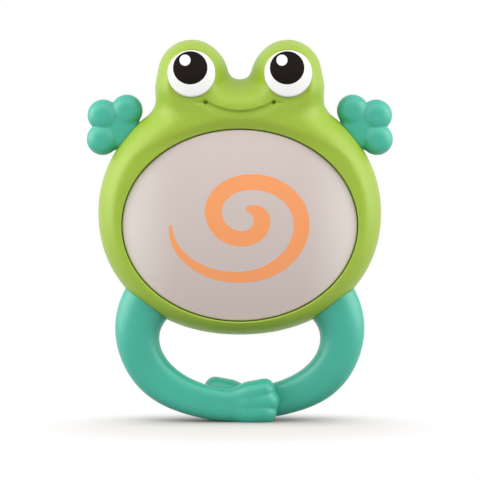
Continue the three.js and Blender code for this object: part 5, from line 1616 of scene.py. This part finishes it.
class FROG_OT_screws(bpy.types.Operator):
    """Sets the cross-headed screws in place"""

    bl_idname = "frog.screws"
    bl_label = "Screws"

    def execute(self, context):
        tree = screw_tree()
        for seed, (group, body) in enumerate(SCREW_BODIES.items()):
            nodes = group_of(group)
            low, high = node_box(nodes[0])
            head = (high[2] - low[2]) / 2
            points = [node_middle(name) * [1, 0, 1] + [0, node_box(name)[1][1], 0] for name in nodes]
            lengths = {
                "Head_radius": head,
                "Head_height": SCREW_HEAD_HEIGHT,
                "Shank_radius": SCREW_SHANK,
                "Shank_length": high[1] - low[1] - SCREW_HEAD_HEIGHT,
            }
            piece = grown(group, tree, points, lengths, Seed=seed, Material=finish_of("steel"))
            dress(smooth(piece), f"{group}_set", body, "steel", finish_of("steel"), *nodes)
        return {"FINISHED"}


class FROG_OT_springs(bpy.types.Operator):
    """Winds the springs under the belly panel and behind the cells"""

    bl_idname = "frog.springs"
    bl_label = "Springs"

    def execute(self, context):
        tree = spring_tree()
        self.panel_springs(tree)
        self.contact_springs(tree)
        return {"FINISHED"}

    def panel_springs(self, tree):
        nodes = group_of("panel_spring")
        low, high = node_box(nodes[0])
        radius = (high[2] - low[2] - SPRING_WIRE) / 2
        points = [node_middle(name) * [1, 0, 1] + [0, high[1] - SPRING_WIRE / 2, 0] for name in nodes]
        height = high[1] - low[1] - SPRING_WIRE
        lengths = {"Start_radius": radius, "End_radius": radius, "Height": height, "Wire": SPRING_WIRE}
        steel_wire = finish_of("steel")
        turn = (math.pi / 2, 0, 0)
        values = {"Turns": SPRING_TURNS, "Turn": turn, "Material": steel_wire}
        piece = grown("panel_springs", tree, points, lengths, **values)
        dress(smooth(piece), "panel_spring_set", "casing", "steel", steel_wire, *nodes)
        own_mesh(piece)

    def contact_springs(self, tree):
        nodes = group_of("contact_spring")
        metal = finish_of("contact_metal")
        coils = []
        for name in nodes:
            low, high = node_box(name)
            side = 1 if low[0] < 0 else -1
            start = (low if side > 0 else high)[0] + side * SPRING_WIRE / 2
            middle = (low + high) / 2
            radius = (high[2] - low[2] - SPRING_WIRE) / 2
            lengths = {
                "Start_radius": radius,
                "End_radius": radius * CONTACT_TAPER,
                "Height": high[0] - low[0] - SPRING_WIRE,
                "Wire": SPRING_WIRE,
            }
            points = [[start, middle[1], middle[2]]]
            turn = (0, side * math.pi / 2, 0)
            coils.append(grown(name, tree, points, lengths, Turns=SPRING_TURNS, Turn=turn, Material=metal))
        dress(smooth(merged("coils", coils)), "contact_spring_set", "casing", "contact_metal", metal, *nodes)


class FROG_OT_cells(bpy.types.Operator):
    """Makes the two cells with their sleeves and metal ends"""

    bl_idname = "frog.cells"
    bl_label = "Cells"

    def execute(self, context):
        for name, side in (("battery_cell_1", 1), ("battery_cell_2", -1)):
            low, high = node_box(name)
            radius = (high[2] - low[2]) / 2
            middle = Vector((low + high) / 2) * MM
            piece = turned(name, self.profile(radius, (high[0] - low[0]) / 2))
            placed(piece, Matrix.Translation(middle) @ Matrix.Rotation(-side * math.pi / 2, 4, "Z"))
            skin_of(name, piece, "casing", "cell_sleeve", "cell_sleeve")
            piece.data.materials.append(finish_of("contact_metal"))
            for face in piece.data.polygons:
                away = math.hypot(face.center[1] - middle[1], face.center[2] - middle[2])
                face.material_index = int(away < (radius - CELL_METAL) * MM)
        return {"FINISHED"}

    def profile(self, radius, half):
        """Radius and height from the nub at the plus end to the dished minus end."""
        top = half - CELL_NUB
        return [
            (0, half),
            (CELL_NUB_RADIUS - CELL_NUB_EDGE, half),
            (CELL_NUB_RADIUS, half - CELL_NUB_EDGE),
            (CELL_NUB_RADIUS, top),
            (radius - CELL_SHOULDER, top),
            (radius - CELL_SHOULDER + CELL_CRIMP, top + CELL_CRIMP),
            (radius - CELL_EDGE, top + CELL_CRIMP),
            (radius, top - CELL_EDGE),
            (radius, CELL_EDGE - half),
            (radius - CELL_EDGE, -half),
            (radius - CELL_FOOT_RING, -half),
            (radius - CELL_FOOT_RING - CELL_CRIMP, CELL_FOOT_DISH - half),
            (0, CELL_FOOT_DISH - half),
        ]


class FROG_OT_inner_parts(bpy.types.Operator):
    """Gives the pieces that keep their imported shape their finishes"""

    bl_idname = "frog.inner_parts"
    bl_label = "Inner parts"

    def execute(self, context):
        for name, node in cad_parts.items():
            if node.hide_render:
                continue
            kind = name if name in INNER_FINISHES else name.rstrip("_0123456789")
            node.data.materials.clear()
            node.data.materials.append(finish_of(INNER_FINISHES[kind]))
        return {"FINISHED"}


# Stage, in metres
FLOOR_HALF = 6.0
FLOOR_WHITE = srgb(231, 225, 223)
# Painted contact shadow on the floor: its colour here, and further down how far from the object it reaches.
FLOOR_PAINTED_SHADOW = srgb(163, 153, 152)
FLOOR_BOUNCE = srgb(150, 150, 150)
PAINTED_SHADOW_REACH = 0.03
FADE_START = 0.03
FADE_END = 0.095
FADE_AHEAD = 0.03
FADE_STRETCH = 1.7
WORLD_LIGHT = 0.5
TENT_SPREAD = 0.8
TENT_DROP = 0.3
TENT_LIMITS = (-0.97, -0.5)
SOFTBOXES = {
    "key_light": ((0.0, -0.5, 0.62), (1.4, 0.8), 2.9),
    "left_light": ((-0.7, -0.24, 0.32), (0.7, 0.8), 4.0),
    "right_light": ((0.7, -0.24, 0.32), (0.7, 0.8), 3.7),
    "left_rim_light": ((-0.7, 0.1, 0.2), (0.4, 0.6), 1.0),
    "right_rim_light": ((0.7, 0.1, 0.2), (0.4, 0.6), 0.9),
}
LOOK_AT = Vector((0.0001, 0.0, 0.0814))
FIELD_WIDTH = 0.216
CAMERA_DISTANCE = 1.6
CAMERA_UP = math.radians(3)


def add_softbox(name, place, size, power):
    lamp = bpy.data.lights.new(name, "AREA")
    lamp.shape = "RECTANGLE"
    lamp.size, lamp.size_y = size
    lamp.energy = power
    holder = add_object(name, lamp)
    holder.location = place
    holder.rotation_mode = "QUATERNION"
    holder.rotation_quaternion = (LOOK_AT - Vector(place)).to_track_quat("-Z", "Y")


def rays(graph, *names):
    """1 for rays of these kinds, 0 for others."""
    outputs = graph.node("ShaderNodeLightPath").socket.node.outputs
    total = sum(Wire(graph, outputs[f"Is {name} Ray"]) for name in names)
    return graph.node("ShaderNodeMath", {"operation": "MINIMUM"}, {0: total, 1: 1.0})


class FROG_OT_stage(bpy.types.Operator):
    """Sets the floor, the soft studio light and the camera"""

    bl_idname = "frog.stage"
    bl_label = "Stage"

    def execute(self, context):
        self.floor()
        self.light(context.scene)
        self.camera(context.scene)
        return {"FINISHED"}

    def floor(self):
        corners = [(-1, -1, 0), (1, -1, 0), (1, 1, 0), (-1, 1, 0)]
        mesh = bpy.data.meshes.new("floor")
        mesh.from_pydata([Vector(corner) * FLOOR_HALF for corner in corners], [], [(0, 1, 2, 3)])
        add_object("floor", mesh)
        finish = Finish("floor_white", {"Roughness": 0.9})
        seen = rays(finish, "Camera", "Glossy", "Transmission")
        # Painted contact shadow: the floor's colour darkens where the ambient occlusion node finds the object
        # close by.
        nearby = {"Distance": PAINTED_SHADOW_REACH}
        open_sky = finish.node("ShaderNodeAmbientOcclusion", {"samples": 8}, nearby, "AO")
        close = finish.mix(finish.step(open_sky, 0.4, 1.0), FLOOR_PAINTED_SHADOW, FLOOR_WHITE)
        finish.paint(finish.mix(seen, FLOOR_BOUNCE, close))
        across, ahead, _ = finish.axes()
        ahead = ahead + FADE_AHEAD
        away = across * across + ahead * ahead * FADE_STRETCH
        white = finish.node("ShaderNodeEmission", {}, {"Strength": 1.0})
        share = finish.step(away, FADE_START**2, FADE_END**2) * seen
        pale = Wire(finish, finish.shader.outputs[0])
        mixed = finish.node("ShaderNodeMixShader", {}, {0: share, 1: pale, 2: white})
        finish.feed(finish.tree.nodes["Material Output"], {"Surface": mixed})
        mesh.materials.append(finish.material)

    def light(self, scene):
        for name, (place, size, power) in SOFTBOXES.items():
            add_softbox(name, place, size, power)
        scene.world = bpy.data.worlds.new("white_tent")
        scene.world.use_nodes = True
        graph = Graph(scene.world.node_tree)
        way = graph.node("ShaderNodeTexCoord", output="Generated")
        ahead = Wire(graph, graph.node("ShaderNodeSeparateXYZ", {}, {0: way}).socket.node.outputs[1])
        limits = {"Value": ahead, 1: TENT_LIMITS[0], 2: TENT_LIMITS[1]}
        tent = graph.node("ShaderNodeMapRange", {"interpolation_type": "SMOOTHSTEP"}, limits)
        mirrored = rays(graph, "Glossy", "Transmission")
        seen = rays(graph, "Camera") * (1 - WORLD_LIGHT)
        strength = WORLD_LIGHT + seen + mirrored * (tent * TENT_SPREAD - TENT_DROP)
        graph.feed(graph.tree.nodes["Background"], {"Color": (1, 1, 1, 1), "Strength": strength})
        scene.view_settings.view_transform = "Standard"

    def camera(self, scene):
        lens = bpy.data.cameras.new("camera")
        lens.lens = CAMERA_DISTANCE * lens.sensor_width / FIELD_WIDTH
        camera = add_object("camera", lens)
        back = Vector((0, -math.cos(CAMERA_UP), math.sin(CAMERA_UP)))
        camera.location = LOOK_AT + back * CAMERA_DISTANCE
        camera.rotation_mode = "QUATERNION"
        camera.rotation_quaternion = (-back).to_track_quat("-Z", "Y")
        scene.camera = camera


OPERATORS = (
    FROG_OT_stage,
    FROG_OT_front_shell,
    FROG_OT_rear_shell,
    FROG_OT_panel,
    FROG_OT_eyes,
    FROG_OT_hands,
    FROG_OT_legs,
    FROG_OT_door,
    FROG_OT_switch_knob,
    FROG_OT_screws,
    FROG_OT_springs,
    FROG_OT_cells,
    FROG_OT_inner_parts,
)


class FROG_PT_panel(bpy.types.Panel):
    """Lists the steps that build the frog drum"""

    bl_idname = "FROG_PT_panel"
    bl_label = "Frog drum"
    bl_space_type = "VIEW_3D"
    bl_region_type = "UI"
    bl_category = "Frog drum"

    def draw(self, context):
        for operator in OPERATORS:
            self.layout.operator(operator.bl_idname)
        for group in (context.scene.frog_sizes, context.scene.frog_colours):
            for name in group.__annotations__:
                self.layout.prop(group, name)


CLASSES = (FrogSizes, FrogColours, *OPERATORS, FROG_PT_panel)


def register():
    for kind in CLASSES:
        bpy.utils.register_class(kind)
    bpy.types.Scene.frog_sizes = PointerProperty(type=FrogSizes)
    bpy.types.Scene.frog_colours = PointerProperty(type=FrogColours)


def unregister():
    del bpy.types.Scene.frog_colours
    del bpy.types.Scene.frog_sizes
    for kind in reversed(CLASSES):
        bpy.utils.unregister_class(kind)


def main():
    register()
    bpy.ops.frog.stage()
    bpy.ops.frog.front_shell()
    bpy.ops.frog.rear_shell()
    bpy.ops.frog.panel()
    bpy.ops.frog.eyes()
    bpy.ops.frog.hands()
    bpy.ops.frog.legs()
    bpy.ops.frog.door()
    bpy.ops.frog.switch_knob()
    bpy.ops.frog.screws()
    bpy.ops.frog.springs()
    bpy.ops.frog.cells()
    bpy.ops.frog.inner_parts()


if __name__ == "__main__":
    main()
